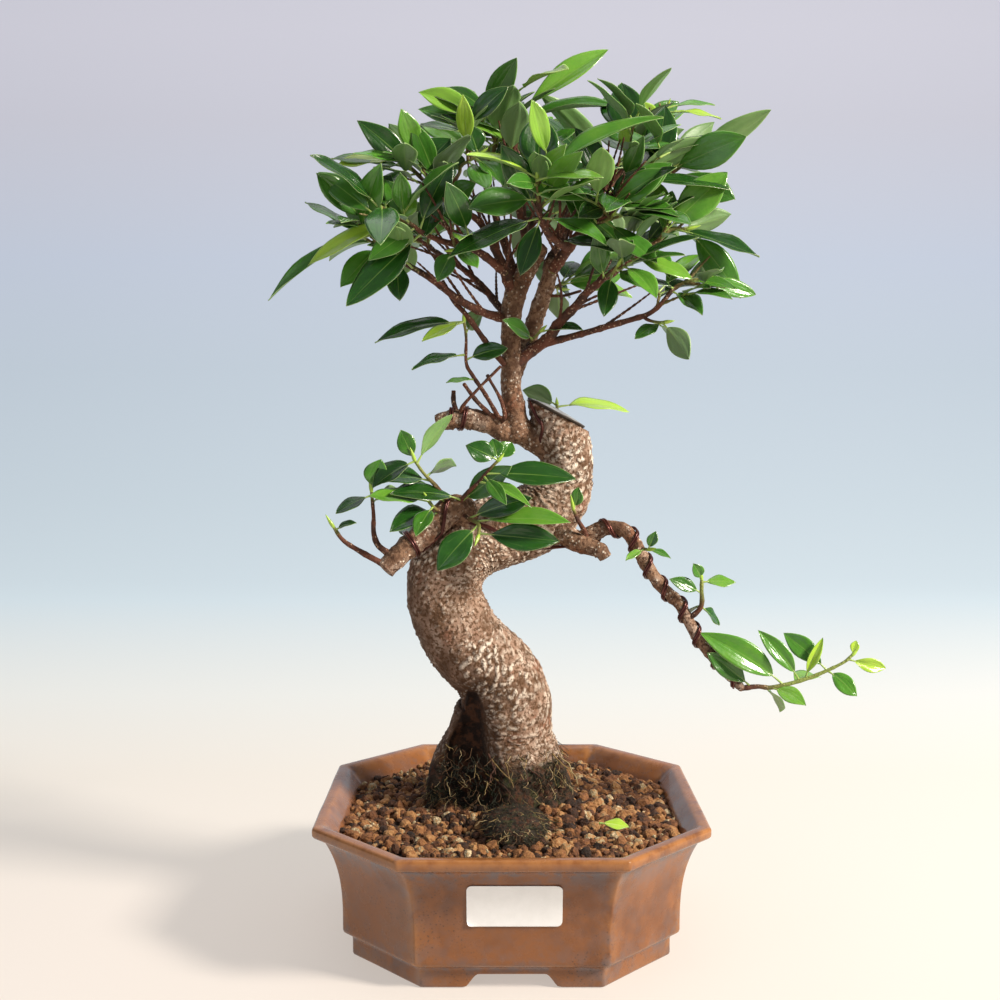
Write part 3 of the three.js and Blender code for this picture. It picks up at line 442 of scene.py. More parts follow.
class Palette:
    """A material under way: its tree, its place in millimetres and the few mixes that finishes share."""

    def __init__(self, name: str) -> None:
        """Starts a material.

        Args:
            name: The material's name.
        """
        self.material = bpy.data.materials.new(name)
        self.material.use_nodes = True
        self.tree = self.material.node_tree
        self.tree.nodes.clear()
        place_of = add(self.tree, "TexCoord").outputs["Object"]
        scaled = add(self.tree, "VectorMath", {0: place_of, 1: (1 / MM,) * 3}, operation="MULTIPLY")
        self.place = scaled.outputs[0]

    def value(self, name: str) -> Socket:
        """Reads a per-point value that the mesh carries."""
        return add(self.tree, "Attribute", attribute_name=name).outputs["Fac"]

    def lumps(self, size: float, detail: float = 3.0, stretch: tuple = (1, 1, 1)) -> Socket:
        """Soft noise whose lumps are size millimetres apart.

        Args:
            size: Distance between lumps.
            detail: How many finer layers.
            stretch: How much longer the lumps are along each axis.

        Returns:
            A value from 0 to 1.
        """
        where = self.place
        if stretch != (1, 1, 1):
            squeeze = tuple(1 / s for s in stretch)
            where = add(self.tree, "VectorMath", {0: where, 1: squeeze}, operation="MULTIPLY").outputs[0]
        inputs = {"Vector": where, "Scale": 1 / size, "Detail": detail, "Roughness": 0.6}
        return add(self.tree, "TexNoise", inputs).outputs["Fac"]

    def cells(self, size: float, feature: str = "F1") -> Socket:
        """Distance to scattered points that are size millimetres apart."""
        inputs = {"Vector": self.place, "Scale": 1 / size}
        return add(self.tree, "TexVoronoi", inputs, feature=feature).outputs["Distance"]

    def step(self, value: Socket, low: float, high: float, top: float = 1) -> Socket:
        """Spreads a value's range from low to high over 0 to top, smoothly."""
        inputs = {"Value": value, "From Min": low, "From Max": high, "To Max": top}
        return add(self.tree, "MapRange", inputs, interpolation_type="SMOOTHSTEP").outputs["Result"]

    def maths(self, operation: str, first: object, second: object = 0.0) -> Socket:
        """Works out one sum on two values."""
        return add(self.tree, "Math", {0: first, 1: second}, operation=operation).outputs[0]

    def mix(self, share: object, first: object, second: object) -> Socket:
        """Mixes two colours.

        Args:
            share: How much of the second.
            first: A hex colour or a socket.
            second: A hex colour or a socket.

        Returns:
            The mixed colour.
        """
        inputs = {0: share, 6: first, 7: second}
        return add(self.tree, "Mix", inputs, data_type="RGBA").outputs[2]

    def bump(self, height: Socket, depth: float, under: object = None) -> Socket:
        """Fine relief too small for the mesh.

        Args:
            height: The relief, from 0 to 1.
            depth: How high 1 stands, in millimetres.
            under: Coarser relief that this one lies on.

        Returns:
            The surface direction.
        """
        inputs = {"Height": height, "Distance": depth * MM, "Strength": 1.0}
        if under is not None:
            inputs["Normal"] = under
        return add(self.tree, "Bump", inputs).outputs["Normal"]

    def finish(self, **sockets: object) -> Material:
        """Ends the material with its surface.

        Args:
            sockets: The surface's sockets, with _ for the spaces of their names.

        Returns:
            The material.
        """
        inputs = {name.replace("_", " "): value for name, value in sockets.items()}
        surface = add(self.tree, "BsdfPrincipled", inputs)
        add(self.tree, "OutputMaterial", {"Surface": surface.outputs[0]})
        return self.material


@dataclass(frozen=True)
class BrownGlaze:
    """Stoneware dipped in an iron glaze: satin brown that breaks paler on edges and pools blue-grey."""

    body: str = "#84512a"
    dark: str = "#5c3720"
    ochre: str = "#945d33"
    bloom: str = "#5f5a5d"
    worn: str = "#9d693c"
    speck: str = "#3a2a22"

    def build(self) -> Material:
        """Mixes the finish.

        Returns:
            Its material.
        """
        paint = Palette("iron_glaze_stoneware")
        colour = paint.mix(paint.step(paint.lumps(34, 4), 0.4, 0.68, 0.75), self.body, self.dark)
        runs = paint.lumps(16, 4, (1, 1, 2.2))
        colour = paint.mix(paint.step(runs, 0.5, 0.72, 0.6), colour, self.ochre)
        veil = paint.maths("MULTIPLY", paint.value("veil"), paint.step(paint.lumps(7, 5), 0.4, 0.62))
        colour = paint.mix(veil, colour, self.bloom)
        grains = paint.step(paint.cells(1.5), 0.34, 0.1)
        patch = paint.maths("MULTIPLY", grains, paint.step(paint.lumps(22, 2), 0.5, 0.66, 0.75))
        colour = paint.mix(patch, colour, self.speck)
        wear = paint.maths("MULTIPLY", paint.value("wear"), paint.step(paint.lumps(9, 4), 0.3, 0.6))
        colour = paint.mix(wear, colour, self.worn)
        gloss = paint.step(paint.lumps(12, 4), 0.3, 0.7)
        roughness = add(paint.tree, "MapRange", {"Value": gloss, "To Min": 0.17, "To Max": 0.33}).outputs[0]
        skin = paint.bump(paint.lumps(4.5, 3), 0.1)
        return paint.finish(
            Base_Color=colour, Roughness=roughness, Normal=skin, Specular_IOR_Level=0.35,
            Coat_Weight=0.3, Coat_Roughness=0.08,
        )


@dataclass(frozen=True)
class FicusBark:
    """Living fig bark: dry, matt taupe with corky beige lenticels, mossy at the soil; painted shade in
    hollows, cracks, unlit side.
    """

    name: str = "ficus_trunk_bark"
    bark: str = "#957864"
    shade: str = "#52371f"
    pale: str = "#bba593"
    lenticel: str = "#e2d4c2"
    rust: str = "#7d4a30"
    # Near-black painted shade deep in the trunk's hollow.
    hollow: str = "#1e120b"
    dead: str = "#513320"
    moss: str = "#1d1810"
    fresh_moss: str = "#36401d"
    dead_moss: str = "#4c2b1a"
    # The colour of the painted shade on the trunk's side away from the light.
    damp: str = "#3a2617"
    cork_size: float = 1.9
    flecks: float = 0.22

    def build(self) -> Material:
        """Mixes the finish.

        Returns:
            Its material.
        """
        paint = Palette(self.name)
        colour = paint.mix(paint.step(paint.lumps(14, 4), 0.48, 0.64, 0.7), self.bark, self.pale)
        colour = paint.mix(paint.step(paint.lumps(9, 5), 0.42, 0.66, 0.85), colour, self.shade)
        colour = paint.mix(paint.step(paint.lumps(17, 4), 0.54, 0.66, 0.6), colour, self.rust)
        # Painted shade: the bark darkens on its side away from the key light, most at the foot.
        damp = paint.maths("MULTIPLY", paint.value("damp"), paint.step(paint.lumps(8, 4), 0.25, 0.6))
        colour = paint.mix(damp, colour, self.damp)
        cork = paint.step(paint.cells(self.cork_size), 0.42, 0.16)
        cork = paint.maths("MULTIPLY", cork, paint.step(paint.lumps(7, 2), 0.42, 0.58, self.flecks))
        cork = paint.maths("MAXIMUM", cork, paint.value("lenticel"))
        colour = paint.mix(cork, colour, self.lenticel)
        # Painted shade in the bark's fine cracks, which take the shade colour.
        cracks = paint.step(paint.lumps(1.7, 5), 0.52, 0.42, 0.9)
        colour = paint.mix(cracks, colour, self.shade)
        # The hollow's floor mixes near-black painted shade with darker dead wood.
        inner = paint.mix(paint.step(paint.lumps(4, 5), 0.46, 0.62, 0.8), self.hollow, self.dead)
        colour = paint.mix(paint.value("hollow"), colour, inner)
        green = paint.mix(paint.step(paint.lumps(6, 4), 0.52, 0.66, 0.7), self.moss, self.fresh_moss)
        green = paint.mix(paint.step(paint.lumps(4, 4), 0.5, 0.6, 0.8), green, self.dead_moss)
        colour = paint.mix(paint.value("moss"), colour, green)
        relief = paint.bump(cork, 0.3, paint.bump(paint.lumps(1.5, 5), 1.0))
        return paint.finish(Base_Color=colour, Roughness=0.82, Normal=relief, Specular_IOR_Level=0.3)


@dataclass(frozen=True)
class TwigBark:
    """Young fig bark: thin and red-brown, dotted with pale corky pores, green where it is this year's."""

    wood: str = "#643a28"
    old: str = "#41281d"
    pore: str = "#b9977c"
    shoot: str = "#8a9a4c"

    def build(self) -> Material:
        """Mixes the finish.

        Returns:
            Its material.
        """
        paint = Palette("ficus_twig_bark")
        colour = paint.mix(paint.step(paint.lumps(6, 4), 0.4, 0.62), self.wood, self.old)
        pores = paint.step(paint.cells(1.5), 0.36, 0.18)
        pores = paint.maths("MULTIPLY", pores, paint.step(paint.lumps(5, 2), 0.44, 0.56, 0.85))
        colour = paint.mix(pores, colour, self.pore)
        colour = paint.mix(paint.value("green"), colour, self.shoot)
        relief = paint.bump(pores, 0.3, paint.bump(paint.lumps(1.1, 4), 0.7))
        return paint.finish(Base_Color=colour, Roughness=0.7, Normal=relief, Specular_IOR_Level=0.35)


@dataclass(frozen=True)
class FicusLeaf:
    """A waxed fig leaf: glossy dark green above, matt and paler below, with a pale rib and thin margin."""

    name: str = "ficus_leaf"
    rib: str = "#7fa04e"
    margin: str = "#a9bd7e"
    under: str = "#809b68"
    stalk: str = "#93ab58"
    mottle: float = 0.14
    tints: tuple = (
        (0.0, "#11280c"), (0.25, "#204a15"), (0.5, "#4a8027"), (0.72, "#7ea738"), (1.0, "#aecb3e"),
    )

    def build(self) -> Material:
        """Mixes the finish.

        Returns:
            Its material.
        """
        paint = Palette(self.name)
        mottle = paint.maths("MULTIPLY_ADD", paint.lumps(8, 3), self.mottle)
        mottle.node.inputs[2].default_value = -self.mottle / 2
        tint = paint.maths("ADD", paint.value("tint"), mottle)
        ramp = add(paint.tree, "ValToRGB", {"Fac": tint}, self.tints)
        colour = ramp.outputs["Color"]
        vein = paint.step(paint.value("vein"), 0.8, 1.0, 0.1)
        colour = paint.mix(vein, colour, self.rib)
        below = paint.mix(0.5, colour, self.under)
        colour = paint.mix(paint.value("below"), colour, below)
        colour = paint.mix(paint.step(paint.value("rib"), 0.5, 0.15, 0.45), colour, self.rib)
        colour = paint.mix(paint.step(paint.value("edge"), 0.32, 0.06, 0.42), colour, self.margin)
        colour = paint.mix(paint.value("stalk"), colour, self.stalk)
        wax = add(paint.tree, "MapRange", {"Value": paint.value("below"), "To Min": 0.23, "To Max": 0.45})
        relief = paint.bump(paint.value("vein"), 0.12, paint.bump(paint.lumps(2.4, 3), 0.1))
        return paint.finish(
            Base_Color=colour, Roughness=wax.outputs[0], Normal=relief,
            Subsurface_Weight=0.12, Subsurface_Scale=0.0012, Subsurface_Radius=(0.4, 1.0, 0.15),
        )


@dataclass(frozen=True)
class AkadamaClay:
    """Clay grains, baked and damp: matt red-brown to tan and grey, each its own tone, with a pitted skin."""

    name: str = "akadama_clay"
    wander: float = 0.9
    wander_middle: float = 0.47
    # The lowest stop's near-black also serves as painted shade on the bed between the grains.
    tones: tuple = (
        (0.0, "#20140b"), (0.25, "#4b2e1b"), (0.45, "#73492b"), (0.65, "#936439"), (0.82, "#ae8253"),
        (0.93, "#938a6c"), (1.0, "#d8bf98"),
    )

    def build(self) -> Material:
        """Mixes the finish.

        Returns:
            Its material.
        """
        paint = Palette(self.name)
        wander = paint.maths("MULTIPLY_ADD", paint.lumps(1.4, 5), self.wander)
        wander.node.inputs[2].default_value = -self.wander_middle
        tone = paint.maths("ADD", paint.value("tone"), wander)
        colour = add(paint.tree, "ValToRGB", {"Fac": tone}, self.tones).outputs["Color"]
        relief = paint.bump(paint.lumps(1.1, 5), 1.3)
        return paint.finish(Base_Color=colour, Roughness=0.78, Normal=relief, Specular_IOR_Level=0.4)


@dataclass(frozen=True)
class RootFibre:
    """Fine dead roots and moss: matt strands from black-green to straw."""

    shade: str = "#15130c"
    tones: tuple = (
        (0.0, "#16150d"), (0.3, "#2c3318"), (0.5, "#4a2a1a"), (0.75, "#8b7444"), (1.0, "#b9a377"),
    )

    def build(self) -> Material:
        """Mixes the finish.

        Returns:
            Its material.
        """
        paint = Palette("root_fibre_and_moss")
        colour = add(paint.tree, "ValToRGB", {"Fac": paint.value("tone")}, self.tones).outputs["Color"]
        colour = paint.mix(paint.step(paint.lumps(2, 3), 0.5, 0.65, 0.5), colour, self.shade)
        return paint.finish(Base_Color=colour, Roughness=0.85, Normal=paint.bump(paint.lumps(0.7, 3), 0.3))


@dataclass(frozen=True)
class CutPaste:
    """Sealing putty spread by thumb over a cut: rubbery slate grey, dull, with a darker pressed rim."""

    face: str = "#7e8083"
    pale: str = "#999b9c"
    rim: str = "#33291f"

    def build(self) -> Material:
        """Mixes the finish.

        Returns:
            Its material.
        """
        paint = Palette("cut_paste_putty")
        colour = paint.mix(paint.step(paint.lumps(6, 4), 0.35, 0.65), self.face, self.pale)
        colour = paint.mix(paint.value("rim"), colour, self.rim)
        return paint.finish(Base_Color=colour, Roughness=0.6, Normal=paint.bump(paint.lumps(1.8, 4), 0.3))


@dataclass(frozen=True)
class AnodisedWire:
    """Aluminium training wire, drawn and anodised copper brown: a dark satin metal with fine draw lines."""

    tone: str = "#4b2520"
    worn: str = "#6c3c31"

    def build(self) -> Material:
        """Mixes the finish.

        Returns:
            Its material.
        """
        paint = Palette("anodised_aluminium_wire")
        colour = paint.mix(paint.step(paint.lumps(9, 4), 0.45, 0.7), self.tone, self.worn)
        relief = paint.bump(paint.lumps(0.7, 2), 0.05)
        return paint.finish(Base_Color=colour, Metallic=0.55, Roughness=0.28, Normal=relief)


@dataclass(frozen=True)
class LabelPaper:
    """Coated label paper: bright white with a low sheen and faint fibres."""

    sheet: str = "#f1f1ef"
    fibre: str = "#e6e6e3"

    def build(self) -> Material:
        """Mixes the finish.

        Returns:
            Its material.
        """
        paint = Palette("coated_label_paper")
        colour = paint.mix(paint.step(paint.lumps(5, 5), 0.3, 0.7, 0.5), self.sheet, self.fibre)
        return paint.finish(Base_Color=colour, Roughness=0.4, Normal=paint.bump(paint.lumps(0.5, 3), 0.02))


@dataclass(frozen=True)
class MouldedMesh:
    """Polyethylene drain mesh, moulded: black with a waxy sheen."""

    tone: str = "#1c1e1f"
    dust: str = "#34302b"

    def build(self) -> Material:
        """Mixes the finish.

        Returns:
            Its material.
        """
        paint = Palette("moulded_polyethylene_mesh")
        colour = paint.mix(paint.step(paint.lumps(3, 3), 0.4, 0.7, 0.6), self.tone, self.dust)
        return paint.finish(Base_Color=colour, Roughness=0.45, Normal=paint.bump(paint.lumps(0.8, 2), 0.08))


# ------------ the pot and what lies in it
@dataclass
class Pot:
    """The glazed pot: an eight-sided bowl on four corner feet."""

    rim_width: float = 180.0
    height: float = 63.0
    corner_share: float = 0.545
    wall: float = 6.0
    floor_top: float = 15.0
    rim_band: float = 5.0
    mouth_width: float = 170.0
    slope_width: float = 158.0
    overhang: float = 4.5
    body_width: float = 154.0
    body_bottom: float = 11.3
    foot_width: float = 146.0
    foot_height: float = 9.0
    foot_thickness: float = 9.0
    notch_height: float = 6.0
    notched_below: float = 1.2
    notch_top: float = 29.0
    notch_bottom: float = 41.0
    drain_diameter: float = 14.0
    drain_spacing: float = 62.0
    flare_power: float = 3.2
    wear_reach: float = 3.0
    arc_points: int = 6
    side_points: int = 18

    def flare(self, z: float) -> float:
        """How far the wall has flared at a height above the table, from 0 to 1."""
        top = self.height - self.rim_band - 1
        return min(max((z - self.body_bottom) / (top - self.body_bottom), 0), 1) ** self.flare_power

    def outer_half(self, z: float) -> float:
        """Half the body's outer width at a height above the table."""
        top = self.rim_width - 2 * self.overhang
        return (self.body_width + (top - self.body_width) * self.flare(z)) / 2

    def inner_half(self, z: float) -> float:
        """Half the cavity's width.

        Args:
            z: A height above the table.

        Returns:
            The half width there.
        """
        band = self.height - self.rim_band
        if z >= band:
            share = (z - band) / self.rim_band
            return (self.slope_width + (self.mouth_width - self.slope_width) * share) / 2
        low = self.body_width - 2 * self.wall
        return (low + (self.slope_width - low) * self.flare(z)) / 2

    def side_shares(self) -> Array:
        """Sets out a long side's points.

        Returns:
            Where they stand, from -1 to 1, close together at the edges of the notch.
        """
        flat = self.corner_share * self.foot_width / 2
        low, high = self.notch_top / 2 / flat, self.notch_bottom / 2 / flat
        slope = np.linspace(low, high, 7)
        half = np.concatenate([np.linspace(0.08, low - 0.03, 4), slope, np.linspace(high + 0.05, 0.96, 7)])
        return np.concatenate([-half[::-1], half])

    def ring(self, half: float, fillet: float) -> tuple[Array, Array, Array]:
        """One eight-sided ring with rounded corners.

        Args:
            half: Half the width across the flats.
            fillet: The corners' radius.

        Returns:
            Points (x, y), each point's nearness to a corner, and its place along a long side in millimetres
            with a large value on the short sides.
        """
        flat = self.corner_share * half
        turn = math.radians(45)
        cut = fillet * math.tan(turn / 2)
        points, nearness, places = [], [], []
        for quarter in range(4):
            angle = quarter * math.pi / 2
            axes = np.array([[math.cos(angle), -math.sin(angle)], [math.sin(angle), math.cos(angle)]])
            for share in self.side_shares():
                along = share * (flat - cut)
                points.append(axes @ (half, along))
                nearness.append(math.exp(-(flat - abs(along)) / self.wear_reach))
                places.append(abs(along))
            short = np.array([(half, flat), (flat, half)])
            for corner, start in ((short[0], 0.0), (short[1], turn)):
                inner = np.array([math.cos(start + turn / 2), math.sin(start + turn / 2)])
                centre = corner - inner * fillet / math.cos(turn / 2)
                for k in range(self.arc_points):
                    bearing = start + turn * k / (self.arc_points - 1)
                    points.append(axes @ (centre + fillet * np.array([math.cos(bearing), math.sin(bearing)])))
                    nearness.append(1.0)
                    places.append(SHORT_SIDE)
                if start == 0.0:
                    for share in np.linspace(0, 1, self.side_points // 2 + 2)[1:-1]:
                        points.append(axes @ (short[0] + (short[1] - short[0]) * share))
                        reach = np.linalg.norm(short[1] - short[0]) * min(share, 1 - share)
                        nearness.append(math.exp(-reach / self.wear_reach))
                        places.append(SHORT_SIDE)
        return np.array(points), np.array(nearness), np.array(places)

    def profile(self) -> list[tuple[float, float, float, float, float]]:
        """The pot's section from the middle of its floor, over the rim and round the feet to its underside.

        Returns:
            Rows of half width, height above the table, corner radius, wear and veil.
        """
        inner = [(self.inner_half(z), z) for z in np.linspace(self.floor_top + 4, 56, 12)]
        slope, mouth, outer = self.slope_width / 2, self.mouth_width / 2, self.rim_width / 2
        low, foot, top = self.body_width / 2, self.foot_width / 2, self.height
        inside = foot - self.foot_thickness
        rows = [(8, self.floor_top, 2, 0, 0.2), (inner[0][0] - 4, self.floor_top, 3, 0, 0.2)]
        rows += [(half, z, 3, 0, 0.25) for half, z in inner]
        rows += [
            (slope + 0.9, top - 5.4, 4, 0.1, 0.3), (slope + 2.6, top - 3.4, 4, 0.15, 0.3),
            (mouth - 1.2, top - 1.1, 4, 0.45, 0.2), (mouth + 0.1, top - 0.25, 4, 0.8, 0.1),
            (mouth + 1.6, top, 4, 0.5, 0.1), (outer - 1.9, top - 0.05, 4, 0.5, 0.1),
        ]
        for degrees in (15, 40, 65, 90):
            angle = math.radians(degrees)
            reach = outer - 1.5 + 1.5 * math.sin(angle)
            rows.append((reach, top - 1.5 + 1.5 * math.cos(angle), 2.4, 0.95, 0.05))
        rows += [
            (outer, top - 3.2, 2.4, 0.4, 0.25), (outer - 0.1, top - 4.1, 2.4, 0.55, 0.3),
            (outer - 0.8, top - 5.0, 2.4, 0.5, 0.6), (outer - 2.4, top - 5.7, 3, 0.1, 1.0),
            (outer - 4.0, top - 6.2, 3, 0, 1.0),
        ]
        for z in np.linspace(top - 8, self.body_bottom + 1.6, 26):
            veil = 0.9 * math.exp(-(top - 7 - z) / 5) + 0.35 * math.exp(-(z - self.body_bottom) / 6)
            rows.append((self.outer_half(z) + 0.15, z, 1.7, 0, 0.12 + veil))
        return rows + [
            (low - 0.1, self.body_bottom + 0.5, 2.5, 0.4, 0.5),
            (low - 0.9, self.body_bottom - 0.3, 2.5, 0.5, 0.5),
            (foot + 1.2, self.body_bottom - 1.5, 2.5, 0.1, 0.7),
            (foot + 0.2, self.foot_height - 0.4, 2.5, 0, 0.7),
            (foot, self.foot_height - 1.6, 2.5, 0, 0.4), (foot, 1.2, 2.5, 0.3, 0.3),
            (foot - 0.3, 0.4, 2.5, 0.5, 0.3), (foot - 1.1, 0, 2.5, 0.6, 0.2),
            (inside + 1, 0, 2, 0.5, 0.2), (inside + 0.2, 0.5, 2, 0.2, 0.2),
            (inside, self.foot_height - 0.6, 2, 0, 0.2), (inside - 2, self.foot_height, 2, 0, 0.2),
            (8, self.foot_height, 1, 0, 0.2),
        ]

    def draft(self) -> Draft:
        """Makes the bowl and its feet.

        Returns:
            One closed skin.
        """
        draft = Draft()
        rings, wears, veils = [], [], []
        slack = (self.notch_bottom - self.notch_top) / 2
        for half, z, fillet, wear, veil in self.profile():
            points, nearness, places = self.ring(half, fillet)
            lift = np.zeros(len(points))
            if z <= self.notched_below:
                share = np.clip((self.notch_bottom / 2 - places) / slack, 0, 1)
                rise = self.notch_height * smooth(share, 0, 1) ** 0.8
                lift = np.where(places < SHORT_SIDE, rise * (1 - z / (2 * self.notch_height)), 0)
            heights = z + lift - self.height
            rings.append(np.column_stack([points, heights]))
            wears.append(np.clip(wear + 0.65 * nearness * (z > 2), 0, 1))
            veils.append(np.clip(veil + 0.45 * nearness, 0, 1))
        columns = len(rings[0])
        points = np.concatenate(rings)
        middle = [[0, 0, rings[0][0, 2]], [0, 0, rings[-1][0, 2]]]
        flat = np.vstack([points, middle])
        swell = unit(flat * (1, 1, 0)) * (0.22 * rough(flat, 26, 5, 2))[:, None]
        body = strip(len(rings), columns)[:, ::-1]
        last = (len(rings) - 1) * columns
        faces = [body, fan(0, columns, len(points)), fan(last, columns, len(points) + 1, flip=True)]
        wear = np.concatenate([*wears, [0, 0]])
        veil = np.concatenate([*veils, [0, 0]])
        draft.add(flat + swell, faces, wear=wear, veil=veil)
        return draft

    def drill(self, pot: bpy.types.Object) -> None:
        """Opens the two drain holes.

        Args:
            pot: The pot's object.
        """
        for side in (-1, 1):
            x = side * self.drain_spacing / 2
            radius = self.drain_diameter / 2
            rows = ((x, 0, -self.height - 2, radius), (x, 0, self.floor_top - self.height + 2, radius))
            tool_draft = Draft()
            tool_draft.add(*capped(Route(rows, 4).rings(32), 0.05))
            tool = bpy.data.objects.new("drill", tool_draft.mesh("drill"))
            bpy.context.scene.collection.objects.link(tool)
            cut = pot.modifiers.new("drain", "BOOLEAN")
            cut.object = tool
            cut.operation = "DIFFERENCE"
            cut.solver = "EXACT"
            graph = bpy.context.evaluated_depsgraph_get()
            opened = bpy.data.meshes.new_from_object(pot.evaluated_get(graph))
            pot.modifiers.clear()
            pot.data = opened
            bpy.data.objects.remove(tool)

    def build(self, finish: Material) -> None:
        """Makes the pot's object.

        Args:
            finish: The glaze.
        """
        pot = place(self.draft(), "glazed_pot_body", Slot.POT, finish, "pot")
        self.drill(pot)


@dataclass
class Label:
    """A blank white label stuck to the front wall."""

    length: float = 41.0
    height: float = 19.5
    corner: float = 2.5
    thickness: float = 0.3
    centre_x: float = 1.0
    centre_z: float = 39.5
    lift: float = 0.32

    def build(self, pot: Pot, finish: Material) -> None:
        """Lays the paper on the wall's curve.

        Args:
            pot: What it is stuck to.
            finish: The paper.
        """
        draft = Draft()
        columns, rows = 30, 15
        across = np.sin(np.linspace(-1, 1, columns) * math.pi / 2)
        up = np.sin(np.linspace(-1, 1, rows) * math.pi / 2)
        grid_u, grid_v = np.meshgrid(across, up)
        x = grid_u * self.length / 2
        z = grid_v * self.height / 2
        # A superellipse corner: points outside the rounded corner are drawn in to it.
        inner_x = self.length / 2 - self.corner
        inner_z = self.height / 2 - self.corner
        over_x = np.maximum(np.abs(x) - inner_x, 0)
        over_z = np.maximum(np.abs(z) - inner_z, 0)
        reach = np.hypot(over_x, over_z)
        pull = np.where(reach > self.corner, self.corner / np.maximum(reach, 1e-6), 1)
        x = np.sign(x) * (np.minimum(np.abs(x), inner_x) + over_x * pull)
        z = np.sign(z) * (np.minimum(np.abs(z), inner_z) + over_z * pull)
        wall = np.vectorize(pot.outer_half)(z + self.centre_z) + self.lift
        peel = 0.5 * smooth(grid_u * grid_v, 0.75, 1.0)
        sheets = []
        for depth in (0.0, self.thickness):
            out = -(wall + depth + peel)
            layer = np.stack([x + self.centre_x, out, z + self.centre_z - pot.height], axis=-1)
            sheets.append(layer.reshape(-1, 3))
        lid = strip(rows, columns, closed=False)
        border = np.concatenate([
            np.arange(columns), columns * np.arange(1, rows) + columns - 1,
            (rows - 1) * columns + np.arange(columns - 2, -1, -1), columns * np.arange(rows - 2, 0, -1),
        ])
        edge = np.stack([border, np.roll(border, -1), np.roll(border, -1) + rows * columns,
                         border + rows * columns], axis=1)
        draft.add(np.vstack(sheets), [lid[:, ::-1], lid + rows * columns, edge])
        place(draft, "blank_paper_label", Slot.PAPER, finish, "paper_label")


@dataclass
class Drainage:
    """The plastic mesh squares over the drain holes, which keep the model's own shape."""

    nodes: tuple = ("drain_mesh_left", "drain_mesh_right")

    def build(self, finish: Material) -> None:
        """Gives the squares their plastic.

        Args:
            finish: The plastic.
        """
        for name in self.nodes:
            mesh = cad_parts[name].data
            mesh.materials.clear()
            mesh.materials.append(finish)
            LOG.info("%s: kept", name)


